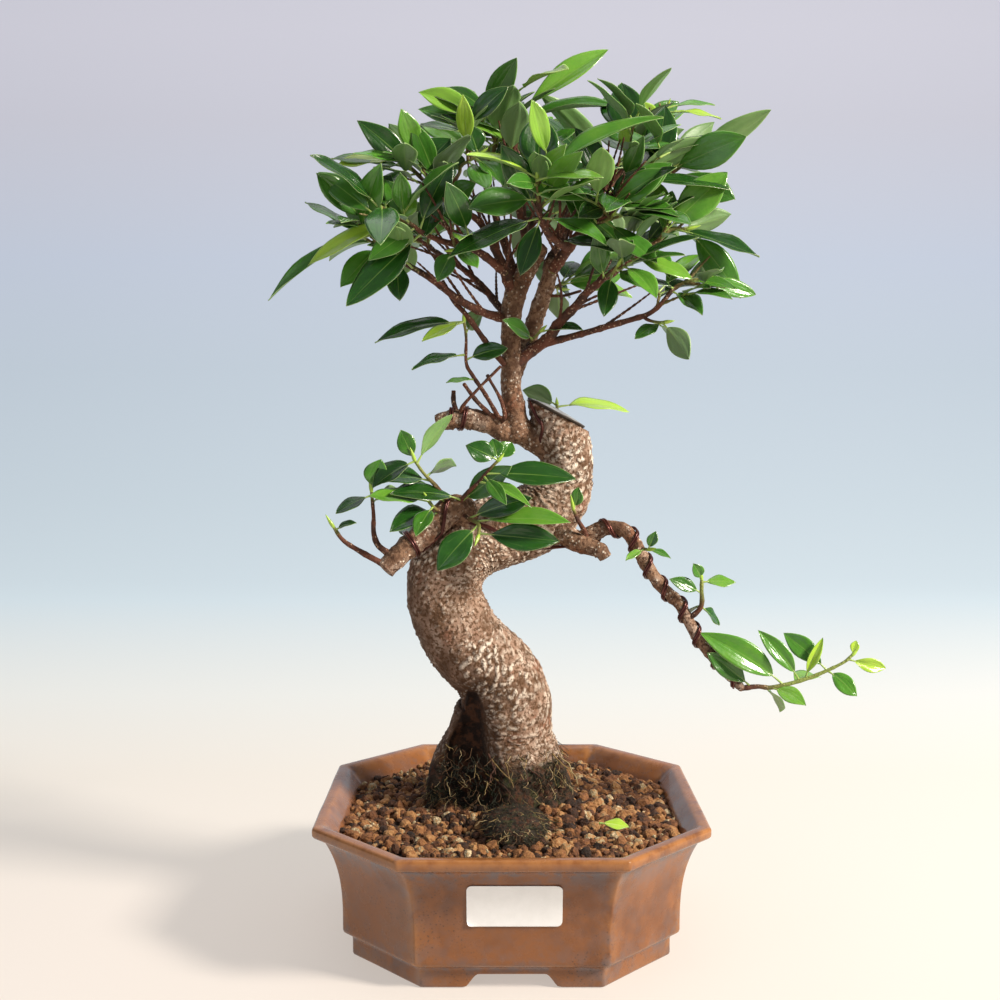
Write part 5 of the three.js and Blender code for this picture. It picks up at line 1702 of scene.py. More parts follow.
BRANCHES = {
    "crown_leader": Branch(
        ((4, -2, 176, 6.6), (2, -3, 184, 5.9), (0, -4, 198, 4.9), (0, -4, 213, 4.4), (0, -3, 227, 4.5),
         (1, -2, 238, 5.2), (5, -1, 248, 4.4), (9, 0, 256, 4.6), (14, 0, 263, 4))),
    "crown_second_stem": Branch(
        ((4, 6, 208, 3.2), (8, 8, 220, 4), (14, 8, 237, 4), (18, 5, 249, 3.6), (19, 2, 257, 3.4)),
        foot=((0.5, -2.5, 196, 2.4), (2, 1.5, 202, 2.9))),
    "limb_right": Branch(
        ((10, 0, 215, 2.8), (18, -3, 221, 2.6), (22, -5, 227, 2.4), (30, -8, 235, 2.1),
         (36, -11, 242, 1.9), (47, -14, 250, 1.6), (55, -16, 256, 1.3), (61, -18, 260, 1.2),
         (67, -19, 264, 1), (73, -20, 269, 0.8), (80, -20, 269, 0.7)),
        foot=((0, -4, 208, 2.8), (5, -2.5, 211, 2.8)), leafy_from=7,
        leaves=((0.75, -20, -15, 40, 14, "ud"), (0.85, 25, 15, 26, 13, "am"), (1, -20, -45, 38, 16, "vm"),
                (0.4, -75, 15, 16, 6, "ul"), (0.45, 65, 75, 24, 10, "vl"), (0.15, -65, -30, 20, 10, "um"),
                (0.85, 55, 0, 39, 15, "um"), (0.25, 75, 25, 38, 15, "ad"))),
    "limb_right_up": Branch(
        ((20, 0, 253, 2.8), (28, -8, 264, 2.4), (36, -14, 273, 1.9), (46, -20, 284, 1.4),
         (49, -21, 290, 1.2), (52, -22, 297, 1), (53, -22, 304, 0.8), (53, -22, 309, 0.7)),
        leafy_from=3,
        leaves=((0.95, 135, 85, 29, 20, "vd"), (1, 110, 55, 34, 16, "vd"), (0.1, 5, 35, 52, 16, "bm"),
                (0.25, -15, 5, 48, 17, "ud"), (0.05, -140, 50, 33, 14, "vd"), (0.7, -130, 70, 14, 7, "vy"),
                (0, -150, 30, 34, 11, "vd"))),
    "limb_back_right": Branch(
        ((18, 4, 257, 2.2), (25, 14, 269, 1.9), (35, 24, 282, 1.6), (45, 30, 294, 1.4), (55, 26, 304, 1.2),
         (63, 20, 313, 1), (69, 14, 321, 0.7), (73, 10, 328, 0.7)),
        leafy_from=3,
        leaves=((1, -15, 5, 26, 11, "uy"), (0.85, 175, 60, 16, 10, "vy"), (0.7, 35, 10, 29, 17, "ud"),
                (0.15, -160, 55, 54, 16, "bm"), (0.05, 180, 60, 51, 17, "ud"),
                (0.45, 125, 45, 33, 16, "um"))),
    "limb_back": Branch(
        ((12, 6, 260, 2.2), (10, 18, 273, 1.9), (8, 32, 286, 1.6), (5, 44, 298, 1.4), (3, 50, 307, 1.1),
         (2, 54, 316, 0.9), (0, 56, 323, 0.7)),
        foot=((12, 0.5, 258, 2.2),), leafy_from=3,
        leaves=((1, 145, 35, 23, 17, "ul"), (0.85, 30, 40, 23, 16, "ud"), (0.45, 50, 20, 29, 17, "um"),
                (0.25, 125, 15, 31, 16, "ud"), (0.7, 85, -25, 31, 17, "am"), (0.95, -65, 75, 18, 15, "am"))),
    "limb_top": Branch(
        ((9, 0, 259, 2.4), (6, 2, 272, 2.1), (3, 3, 286, 1.7), (1, 4, 299, 1.4), (2, 4, 313, 1.3),
         (2, 3, 317, 1), (3, 2, 322, 0.8), (2, 0, 326, 0.7)),
        leafy_from=4,
        leaves=((0.9, -10, 38, 52, 13, "vl"), (0.65, -20, 20, 47, 14, "um"), (0.5, -175, 75, 18, 5, "vy"),
                (0.95, 95, 40, 21, 11, "vo"), (0.05, -85, 35, 14, 13, "ao"), (0.45, 110, 35, 36, 15, "am"))),
    "limb_up": Branch(
        ((2, 2, 250, 2.2), (-2, 8, 263, 1.9), (-6, 12, 274, 1.6), (-9, 14, 287, 1.4), (-11, 14, 301, 1.3),
         (-9, 13, 307, 1), (-8, 12, 313, 0.8), (-7, 10, 318, 0.7)),
        leafy_from=4,
        leaves=((1, -170, 25, 38, 12, "vm"), (0.85, -170, 10, 43, 14, "ud"), (0.8, 140, 25, 40, 15, "um"),
                (0.65, 75, 40, 38, 16, "um"), (0.2, 125, 5, 25, 14, "ul"))),
    "limb_left_up": Branch(
        ((0, -4, 243, 2.5), (-6, -6, 259, 2.1), (-15, -9, 274, 1.4), (-25, -13, 280, 1.3),
         (-33, -17, 285, 1.1), (-40, -20, 291, 0.9), (-46, -21, 297, 0.7), (-51, -21, 300, 0.7)),
        leafy_from=2,
        leaves=((0.75, -35, 50, 21, 18, "vd"), (1, -165, 0, 28, 15, "uy"), (0.95, 140, 0, 36, 16, "ud"),
                (0.55, -90, -50, 27, 13, "vd"), (0.35, -50, 25, 16, 13, "vo"),
                (0.85, 115, 45, 29, 16, "am"), (0.6, 115, 0, 25, 16, "um"))),
    "limb_left": Branch(
        ((-3, -6, 251, 2.1), (-14, -14, 259, 1.8), (-24, -20, 262, 1.5), (-31, -25, 263, 1.3),
         (-40, -32, 266, 1.1), (-44, -34, 269, 1), (-50, -35, 271, 0.7), (-53, -36, 271, 0.7)),
        leafy_from=4,
        leaves=((0.95, -170, -20, 42, 15, "uy"), (0.25, -140, -30, 26, 13, "vm"),
                (0.7, -35, 60, 12, 9, "vl"), (0.5, -170, 70, 22, 12, "vm"), (0.1, -40, 65, 32, 14, "vd"),
                (0, -150, -40, 48, 18, "vd"), (0.9, 135, 10, 31, 16, "um"), (0.6, 105, 35, 30, 15, "am"))),
    "limb_long_left": Branch(
        ((-4, -5, 230, 2.2), (-12, -9, 232, 2), (-23, -14, 237, 1.8), (-34, -18, 245, 1.6),
         (-42, -20, 250, 1.3), (-51, -22, 255, 1.2), (-58, -24, 260, 1), (-63, -26, 266, 0.8),
         (-64, -28, 273, 0.7)),
        leafy_from=5,
        leaves=((1, -20, 60, 21, 15, "vd"), (0.7, -165, -18, 53, 11, "uo"),
                (0.45, -140, -40, 27, 13, "vm"), (0.55, 140, 5, 32, 15, "um"),
                (0.05, -85, -65, 19, 12, "vd"), (0.75, 125, 45, 25, 14, "am"),
                (0.35, -120, -55, 19, 8, "vd"))),
    "limb_left_mid": Branch(
        ((-5, 0, 235, 1.8), (-12, 6, 244, 1.6), (-21, 12, 253, 1.4), (-29, 16, 259, 1.3),
         (-37, 20, 264, 1.1), (-45, 26, 270, 1), (-52, 30, 274, 0.7), (-59, 32, 278, 0.7)),
        foot=((0.5, -2, 233, 1.8),), leafy_from=4,
        leaves=((1, 150, -5, 26, 16, "ul"), (0.85, 120, 40, 29, 16, "ad"), (0.55, 110, -35, 25, 15, "am"),
                (0.4, 65, 45, 28, 15, "ad"), (0.95, -155, 25, 21, 14, "um"))),
    "twig_bare_left": Branch(
        ((-3, -7, 208, 1.4), (-12, -9, 219, 1.3), (-20, -10, 230, 1.2), (-27, -10, 238, 1.1),
         (-32, -8, 247, 0.9))),
    "limb_front": Branch(
        ((25, -10, 263, 2.1), (18, -20, 266, 1.8), (13, -31, 273, 1.4), (12, -37, 278, 1.1),
         (11, -41, 283, 0.9), (11, -44, 288, 0.7)),
        foot=((27.5, -7, 261.5, 2),), leafy_from=2,
        leaves=((0.95, -10, 40, 58, 13, "ul"), (0.95, -65, 80, 28, 20, "vd"), (1, -155, 25, 32, 16, "uy"),
                (0.5, -145, -5, 34, 17, "vm"), (0, -145, -15, 48, 19, "ud"), (0, -40, -10, 39, 16, "um"),
                (0, -120, -55, 28, 12, "vd"))),
    "limb_low_right": Branch(
        ((23, -3, 220, 1.7), (35, -7, 223, 1.5), (46, -12, 226, 1.4), (57, -17, 229, 1.3),
         (63, -20, 231, 1.2), (68, -22, 235, 1.1), (72, -23, 240, 1), (75, -24, 243, 0.8),
         (80, -26, 245, 0.7), (85, -27, 246, 0.7)),
        foot=((12, -1, 216.5, 1.8), (17.5, -2.5, 218.5, 1.8)), leafy_from=6,
        leaves=((0.1, -40, -25, 19, 14, "um"), (0.7, -25, 0, 22, 11, "um"), (1, 5, -15, 28, 10, "vl"),
                (0.5, 50, 25, 26, 12, "am"), (0.2, -140, 15, 16, 10, "ud"))),
    "branch_upper_left": Branch(
        ((4, 0, 177, 6.2), (-4, -4, 178, 5.6), (-11, -6, 181, 5), (-22, -8, 183, 4.6), (-31, -9, 182, 4.2),
         (-35, -9, 181, 3.4)),
        foot=((20, 2, 168, 7.2), (12, 1, 173, 6.8))),
    "branch_lower_left": Branch(
        ((-19, -6, 131, 7.4), (-26, -14, 141, 6.6), (-40, -20, 130, 5.8), (-50, -24, 122, 5.2),
         (-58, -27, 114, 4.8))),
    "branch_cascade": Branch(
        ((32, -2, 124, 5), (38, -6, 128, 4.2), (45, -8, 131, 3.6), (54, -10, 130, 3.3),
         (59, -11, 123, 3.1), (64, -12, 114, 3), (71, -12, 104, 2.9), (79, -13, 96, 2.8),
         (83, -14, 89, 2.7), (88, -14, 80, 2.6), (95, -15, 71, 2.5), (101, -15, 64, 2.3),
         (109, -16, 56, 1.8)),
        foot=((17, 3, 137, 6.5), (25, 0.5, 128.5, 5.8))),
    "branch_stub_right": Branch(
        ((30, -10, 125, 4.6), (37, -14, 123, 3.9), (42, -16, 121, 3.4), (44, -17, 118, 2.8)),
        foot=((19, 0, 134, 5.6), (25, -6, 129, 5))),
    "twig_stub_upright": Branch(
        ((-26, -8, 187, 1.3), (-27, -8, 191, 1.1), (-27, -8, 196, 1))),
    "twig_upper_left_a": Branch(
        ((-8, -9, 183, 1.1), (-16, -11, 191, 1), (-22, -12, 199, 0.8))),
    "twig_upper_left_b": Branch(
        ((-3, -12, 184, 1), (-5, -13, 192, 0.8), (-10, -14, 201, 0.7), (-11, -14, 203, 0.9)),
        foot=((-5.5, -7, 180.5, 1),)),
    "twig_upper_left_crossing": Branch(
        ((-23, -13, 188, 0.9), (-15, -17, 197, 0.7), (-9, -18, 203, 0.7), (-5, -18, 207, 0.7)),
        foot=((-22.5, -9, 184, 0.9),)),
    "right_outer_spray": Branch(
        ((40, -17, 277, 1), (50, -14, 282, 1), (61, -12, 287, 0.9), (69, -12, 293, 0.7),
         (76, -12, 297, 0.7), (81, -12, 301, 0.7)),
        leaves=((0.65, -45, 85, 36, 17, "vd"), (1, -5, 30, 42, 14, "al"), (0.8, 50, 45, 35, 15, "am"),
                (0.95, -25, 20, 19, 9, "um"), (0.8, -25, -20, 32, 16, "vm"), (0.45, -55, 5, 17, 10, "vl"),
                (0.6, 100, 35, 33, 17, "am"))),
    "limb_spur_right": Branch(
        ((36, -15, 272, 0.9), (40, -20, 272, 0.8), (44, -24, 273, 0.7), (46, -26, 275, 0.7)),
        leaves=((1, -25, 0, 20, 13, "ud"), (0.65, -40, -35, 32, 15, "um"), (1, -35, 55, 24, 16, "vd"),
                (0.35, -125, 25, 21, 14, "vm"))),
    "right_inner_spray": Branch(
        ((41, -12, 245, 0.8), (44, -18, 248, 0.7), (46, -23, 249, 0.7), (48, -26, 252, 0.7)),
        leaves=((0.95, -55, 45, 14, 8, "vm"), (0.7, -110, -50, 23, 11, "vd"),
                (0.25, -105, 40, 22, 11, "vm"), (0.9, -50, -15, 21, 14, "um"))),
    "low_right_twig": Branch(
        ((60, -18, 230, 0.8), (63, -20, 228, 0.7), (67, -21, 227, 0.7), (70, -21, 227, 0.7)),
        leaves=((0.9, -10, -45, 21, 13, "ad"), (0.95, -145, -15, 16, 9, "um"), (0.6, 50, -10, 30, 13, "um"))),
    "left_inner_spray": Branch(
        ((-24, -10, 296, 0.8), (-23, -12, 299, 0.7), (-19, -14, 301, 0.7), (-15, -15, 303, 0.7)),
        foot=((-29.5, -15, 283, 1), (-28, -12, 289, 0.9)),
        leaves=((0, -105, 55, 10, 9, "vm"), (0.85, -45, -25, 21, 13, "um"), (0.6, -70, -25, 27, 12, "ul"),
                (1, -115, 55, 14, 13, "vd"), (0.25, 150, 25, 21, 15, "um"))),
    "left_hanging_leaf_spur": Branch(
        ((-24, -21, 262, 0.7), (-25, -24, 260, 0.7), (-26, -27, 259, 0.7)),
        leaves=((1, -135, -50, 16, 11, "vm"), (0.5, -55, -25, 19, 10, "ul"))),
    "back_low_spray": Branch(
        ((9, 22, 276, 1), (12, 34, 280, 0.9), (13, 46, 283, 0.7), (14, 56, 287, 0.7)),
        leaves=((1, 60, -10, 24, 18, "ul"), (0.75, 125, 0, 29, 17, "ud"), (0.9, 25, 20, 22, 16, "um"),
                (0.4, 115, -20, 26, 15, "ad"), (1, 90, 45, 25, 16, "am"))),
    "back_right_spray": Branch(
        ((38, 27, 286, 1), (46, 38, 288, 0.8), (53, 46, 291, 0.7), (59, 52, 294, 0.7)),
        leaves=((1, 20, 10, 22, 17, "ud"), (0.85, 50, -30, 21, 16, "am"), (0.65, 90, -50, 20, 16, "ad"),
                (0.95, 90, 60, 21, 16, "am"), (0.45, 115, 40, 23, 16, "am"), (1, -25, 45, 20, 15, "ul"))),
    "second_stem_leaves": Branch(
        ((17, 6, 247, 0.7), (20, 8, 246, 0.7), (24, 11, 245, 0.7)),
        leaves=((0.9, 45, -5, 11, 8, "vm"), (0.75, 85, -30, 23, 12, "ad"), (0.55, 100, 35, 24, 12, "am"))),
    "stem_leaf_pair": Branch(
        ((8, 3, 218, 0.7), (10, -1, 220, 0.7), (14, -3, 224, 0.7)),
        foot=((7.3, 6, 217.5, 0.7),),
        leaves=((1, -20, 10, 20, 12, "ud"), (0.5, -110, 15, 23, 10, "vm"))),
    "bare_twig": Branch(
        ((15, 8, 242, 0.9), (24, 4, 241, 0.7), (33, 0, 243, 0.7))),
    "pale_back_leaf": Branch(
        ((24, 12, 184, 0.9), (23, 19, 187, 0.7), (23, 23, 189, 0.7)),
        leaves=((0.9, 20, 10, 39, 17, "uy"), (1, 140, 30, 20, 14, "am"))),
    "stub_left_twig_leaves": Branch(
        ((-5, -9, 182, 1.1), (-12, -9, 194, 1), (-18, -9, 203, 0.9), (-21, -9, 209, 0.8),
         (-21, -10, 221, 0.7), (-22, -10, 228, 0.7)),
        leaves=((1, -170, 0, 41, 14, "ud"), (1, -140, -15, 24, 9, "uy"), (0.7, -160, -5, 27, 12, "ud"),
                (0.45, -155, 5, 13, 7, "ul"), (0.65, -20, 25, 20, 11, "vd"), (0.9, 65, 40, 18, 10, "am"))),
    "low_left_shoot_up": Branch(
        ((-28, -17, 141, 1.1), (-33, -22, 150, 1), (-40, -26, 158, 0.7), (-44, -28, 164, 0.7)),
        leaves=((1, -155, -20, 22, 17, "ud"), (1, -150, 60, 15, 10, "vm"), (0.95, 35, 58, 27, 10, "bo"),
                (0.6, -165, 15, 22, 16, "ud"), (0.15, -145, 25, 25, 15, "um"), (0.7, 70, 20, 27, 14, "am"))),
    "low_left_shoot_right": Branch(
        ((-25, -14, 141, 1.1), (-22, -20, 147, 1), (-15, -24, 154, 0.8), (-10, -26, 160, 0.7),
         (-6, -27, 164, 0.7)),
        leaves=((0.15, -40, 32, 30, 14, "vm"), (0.75, -12, 2, 40, 16, "ud"), (0.6, -35, -5, 28, 8, "uo"),
                (1, -150, 30, 16, 12, "vd"), (1, 135, 70, 11, 9, "vm"), (1, 40, 50, 12, 10, "vm"),
                (0.2, -140, 20, 35, 15, "ud"), (0.7, -65, -20, 23, 8, "vm"))),
    "trunk_front_shoot": Branch(
        ((-23, -14, 139, 1), (-20, -22, 137, 0.9), (-15, -28, 135, 0.8), (-15, -31, 130, 0.7)),
        leaves=((0.95, -20, -3, 35, 15, "vd"), (0.75, -145, -36, 28, 16, "vd"),
                (0.4, -30, 25, 32, 13, "vd"), (0.6, -25, 10, 44, 14, "ul"))),
    "low_left_shoot_out": Branch(
        ((-31, -19, 139, 1), (-35, -26, 142, 0.8), (-38, -30, 146, 0.7)),
        leaves=((0.1, -135, 5, 31, 17, "ud"), (1, -160, 10, 27, 14, "ul"), (0.7, -110, -20, 23, 10, "um"))),
    "low_left_back_shoot": Branch(
        ((-41, -14, 129, 0.9), (-41, -6, 127, 0.7), (-41, 1, 124, 0.7)),
        foot=((-40, -17, 130, 0.9),),
        leaves=((1, 145, -65, 13, 12, "vm"), (0.65, 40, -35, 20, 12, "vd"), (0.65, 125, 15, 23, 15, "ud"),
                (1, 85, 20, 22, 15, "am"))),
    "low_left_twig_leaves": Branch(
        ((-55, -25, 120, 1.7), (-61, -27, 125, 1.4), (-63, -28, 131, 1.2), (-63, -28, 139, 0.9),
         (-64, -27, 150, 0.7)),
        leaves=((1, -40, 70, 15, 13, "vm"), (0.95, -155, -15, 18, 12, "ud"), (0.85, 75, 20, 22, 11, "am"))),
    "low_left_end_twig": Branch(
        ((-58, -27, 116, 1.5), (-70, -29, 123, 1.2), (-77, -30, 128, 1), (-81, -31, 134, 0.7)),
        leaves=((0.95, -35, 30, 11, 6, "ud"),)),
    "right_twig_leaf": Branch(
        ((35, -13, 129, 1.2), (31, -16, 136, 0.9), (29, -17, 141, 0.7)),
        foot=((34, -12.3, 125.5, 1.2),),
        leaves=((1, -40, 60, 10, 7, "vm"),)),
    "cascade_end_shoot": Branch(
        ((109, -16, 56, 1.3), (116, -17, 57, 1.1), (124, -18, 57, 1), (140, -20, 62, 0.9),
         (154, -22, 69, 0.7), (159, -22, 73, 0.7)),
        leaves=((0.08, -160, 42, 27, 12, "vm"), (0.36, -172, 42, 45, 16, "vo"),
                (0.25, -40, -5, 18, 11, "ul"), (0.5, -165, 58, 29, 10, "vl"), (0.55, -60, 72, 20, 6, "vy"),
                (0.75, -40, -25, 17, 10, "vl"), (0.75, 175, 45, 25, 12, "vm"),
                (0.95, -12, -16, 18, 8, "vy"), (1, 0, 75, 7, 5, "vy"), (0.42, 50, 10, 26, 13, "ul"),
                (0.2, 50, -25, 24, 12, "ul"))),
    "cascade_twig_leaves": Branch(
        ((84, -15, 89, 1.3), (89, -17, 95, 1.1), (89, -18, 103, 0.9), (89, -18, 108, 0.7)),
        leaves=((0.7, -155, 30, 17, 8, "vm"), (1, -130, 55, 9, 7, "vm"), (0.95, 0, 5, 16, 9, "ul"),
                (0.45, 110, -20, 17, 9, "ud"), (0.4, 30, -35, 16, 10, "um"))),
    "cascade_small_twig": Branch(
        ((61, -12, 122, 0.7), (63, -16, 122, 0.7), (64, -18, 122, 0.7)),
        leaves=((0.9, -25, 0, 11, 5, "um"), (0.5, -130, -5, 14, 5, "ul"), (1, -40, 70, 9, 6, "vd"))),
}

FACES = {"u": (0, -0.6, 1), "v": (0, -1, 0.3), "a": (0, 1, 0.6), "b": (0, 0.8, 1)}
TINTS = {"d": 0.2, "m": 0.38, "l": 0.56, "y": 0.86, "o": 0.48}


@dataclass
class Blade:
    """The shape that every leaf shares."""

    stalk_share: float = 0.16
    stalk_radius: float = 0.55
    droop: float = 0.12
    narrowing: float = 0.88
    thickness: float = 0.42
    across: int = 11
    along: int = 16
    veins: int = 11

    def outline(self, run: Array, belly: float) -> Array:
        """The blade's half width from its base to its tip, as a share of the widest.

        Args:
            run: Places along the blade, from 0 to 1.
            belly: Below 1 where it is widest near its base, above 1 near its tip.

        Returns:
            One share for each place.
        """
        body = np.sin(math.pi * run**belly) ** 0.78
        return np.clip(body * (1 - 0.12 * run**5), 0, 1)

    def add_to(self, draft: Draft, base: Array, row: tuple, draw: np.random.Generator) -> None:
        """Grows one leaf.

        Args:
            draft: What it is added to.
            base: Where its stalk begins.
            row: Place, bearing, lift, length, width, and the letters of its face and its tint.
            draw: The random source.
        """
        _, bearing, lift, length, width, (side, hue) = row
        width *= self.narrowing
        turn, rise = math.radians(bearing), math.radians(lift)
        flat = math.cos(rise)
        along = np.array([flat * math.cos(turn), flat * math.sin(turn), math.sin(rise)])
        face = np.array(FACES[side], dtype=float)
        face -= along * face.dot(along)
        if np.linalg.norm(face) < 0.15:
            face = np.array([-math.sin(turn), math.cos(turn), 0.0])
        face /= np.linalg.norm(face)
        roll = draw.normal(0, 0.1)
        across, face = np.cross(along, face), face.copy()
        cos, sin = math.cos(roll), math.sin(roll)
        face, across = face * cos + across * sin, across * cos - face * sin
        fold = abs(draw.normal(0.2, 0.09)) + (0.45 if width < 0.27 * length else 0)
        bend = self.droop * draw.uniform(0.9, 2.7)
        sway = draw.normal(0, 0.065)
        ripple, phase = draw.uniform(0.012, 0.05), draw.uniform(0, 6.28)
        tint = TINTS[hue] + draw.normal(0, 0.045)

        def middle(share: Array) -> Array:
            """Follows the midrib's line.

            Args:
                share: How far along the leaf, from 0 to 1.

            Returns:
                One place for each share.
            """
            share = np.asarray(share, dtype=float)[..., None]
            line = base + along * share * length - face * bend * length * share**2
            return line + across * sway * length * share**2

        run = (1 - np.cos(np.linspace(0, 1, self.along) * math.pi)) / 2 * 0.985 + 0.012
        u = np.linspace(-1, 1, self.across)
        half = self.outline(run, draw.uniform(0.88, 1.16)) * width / 2
        share = self.stalk_share + (1 - self.stalk_share) * run
        centre = middle(share)[:, None]
        reach = half[:, None] * u
        lift_up = np.abs(reach) * fold - 0.5 * (reach / (width / 2)) ** 2 * width * 0.035
        wave = np.sin(run[:, None] * 11 + phase + np.sign(u) * 1.2) * ripple * width * np.abs(u) ** 2
        top = centre + across * reach[..., None] + face * (lift_up + wave)[..., None]
        thick = self.thickness * (0.45 + 0.55 * (1 - np.abs(u) ** 3))[None, :] * np.ones_like(reach)
        ridge = 0.35 * np.exp(-((reach / 0.5) ** 2)) * (1 - 0.6 * run[:, None])
        low = top - face * (thick + ridge)[..., None]
        top = top - face * (0.12 * np.exp(-((reach / 0.45) ** 2)))[..., None]
        rows, columns = reach.shape
        tip = (middle(1.0) + along * 0.2)[None]
        points = np.vstack([top.reshape(-1, 3), low.reshape(-1, 3), tip, tip - face * 0.2])
        count = rows * columns
        grid = strip(rows, columns, closed=False)
        left = np.arange(rows) * columns
        right = left + columns - 1
        sides = [
            np.stack([left[:-1], left[1:], left[1:] + count, left[:-1] + count], axis=1),
            np.stack([right[1:], right[:-1], right[:-1] + count, right[1:] + count], axis=1),
            np.stack([np.arange(1, columns), np.arange(columns - 1), np.arange(columns - 1) + count,
                      np.arange(1, columns) + count], axis=1),
        ]
        end = (rows - 1) * columns + np.arange(columns)
        tips = [
            np.stack([end[:-1], end[1:], np.full(columns - 1, 2 * count)], axis=1),
            np.stack([end[1:] + count, end[:-1] + count, np.full(columns - 1, 2 * count + 1)], axis=1),
            np.array([[end[-1], end[-1] + count, 2 * count + 1, 2 * count],
                      [end[0] + count, end[0], 2 * count, 2 * count + 1]]),
        ]
        edge = half[:, None] * (1 - np.abs(u)) + 0 * reach
        slant = run[:, None] * self.veins - np.abs(u) * 1.6
        vein = 0.5 + 0.5 * np.cos(2 * math.pi * slant)

        def pair(values: Array, last: float) -> Array:
            """Repeats the upper side's values on the lower side, with one for the two tips."""
            return np.concatenate([values.ravel(), values.ravel(), [last, last]])

        below = np.concatenate([np.zeros(count), np.ones(count), [0, 1]])
        draft.add(
            points, [grid, grid[:, ::-1] + count, *sides, *tips],
            rib=pair(np.abs(reach) + 0.35 * run[:, None], 1.0), edge=pair(edge, 0.0), vein=pair(vein, 0.0),
            below=below, tint=tint, stalk=0.0,
        )
        stalk = [
            (*(middle(s) - face * 0.25), self.stalk_radius * (1.15 - 0.45 * s / self.stalk_share))
            for s in np.linspace(-0.01, self.stalk_share + 0.05, 5)
        ]
        rings = Route(tuple(stalk), 1.2).rings(7)
        tube, parts = capped(rings)
        draft.add(tube, parts, rib=9.0, edge=9.0, vein=0.0, below=0.3, tint=tint, stalk=1.0)


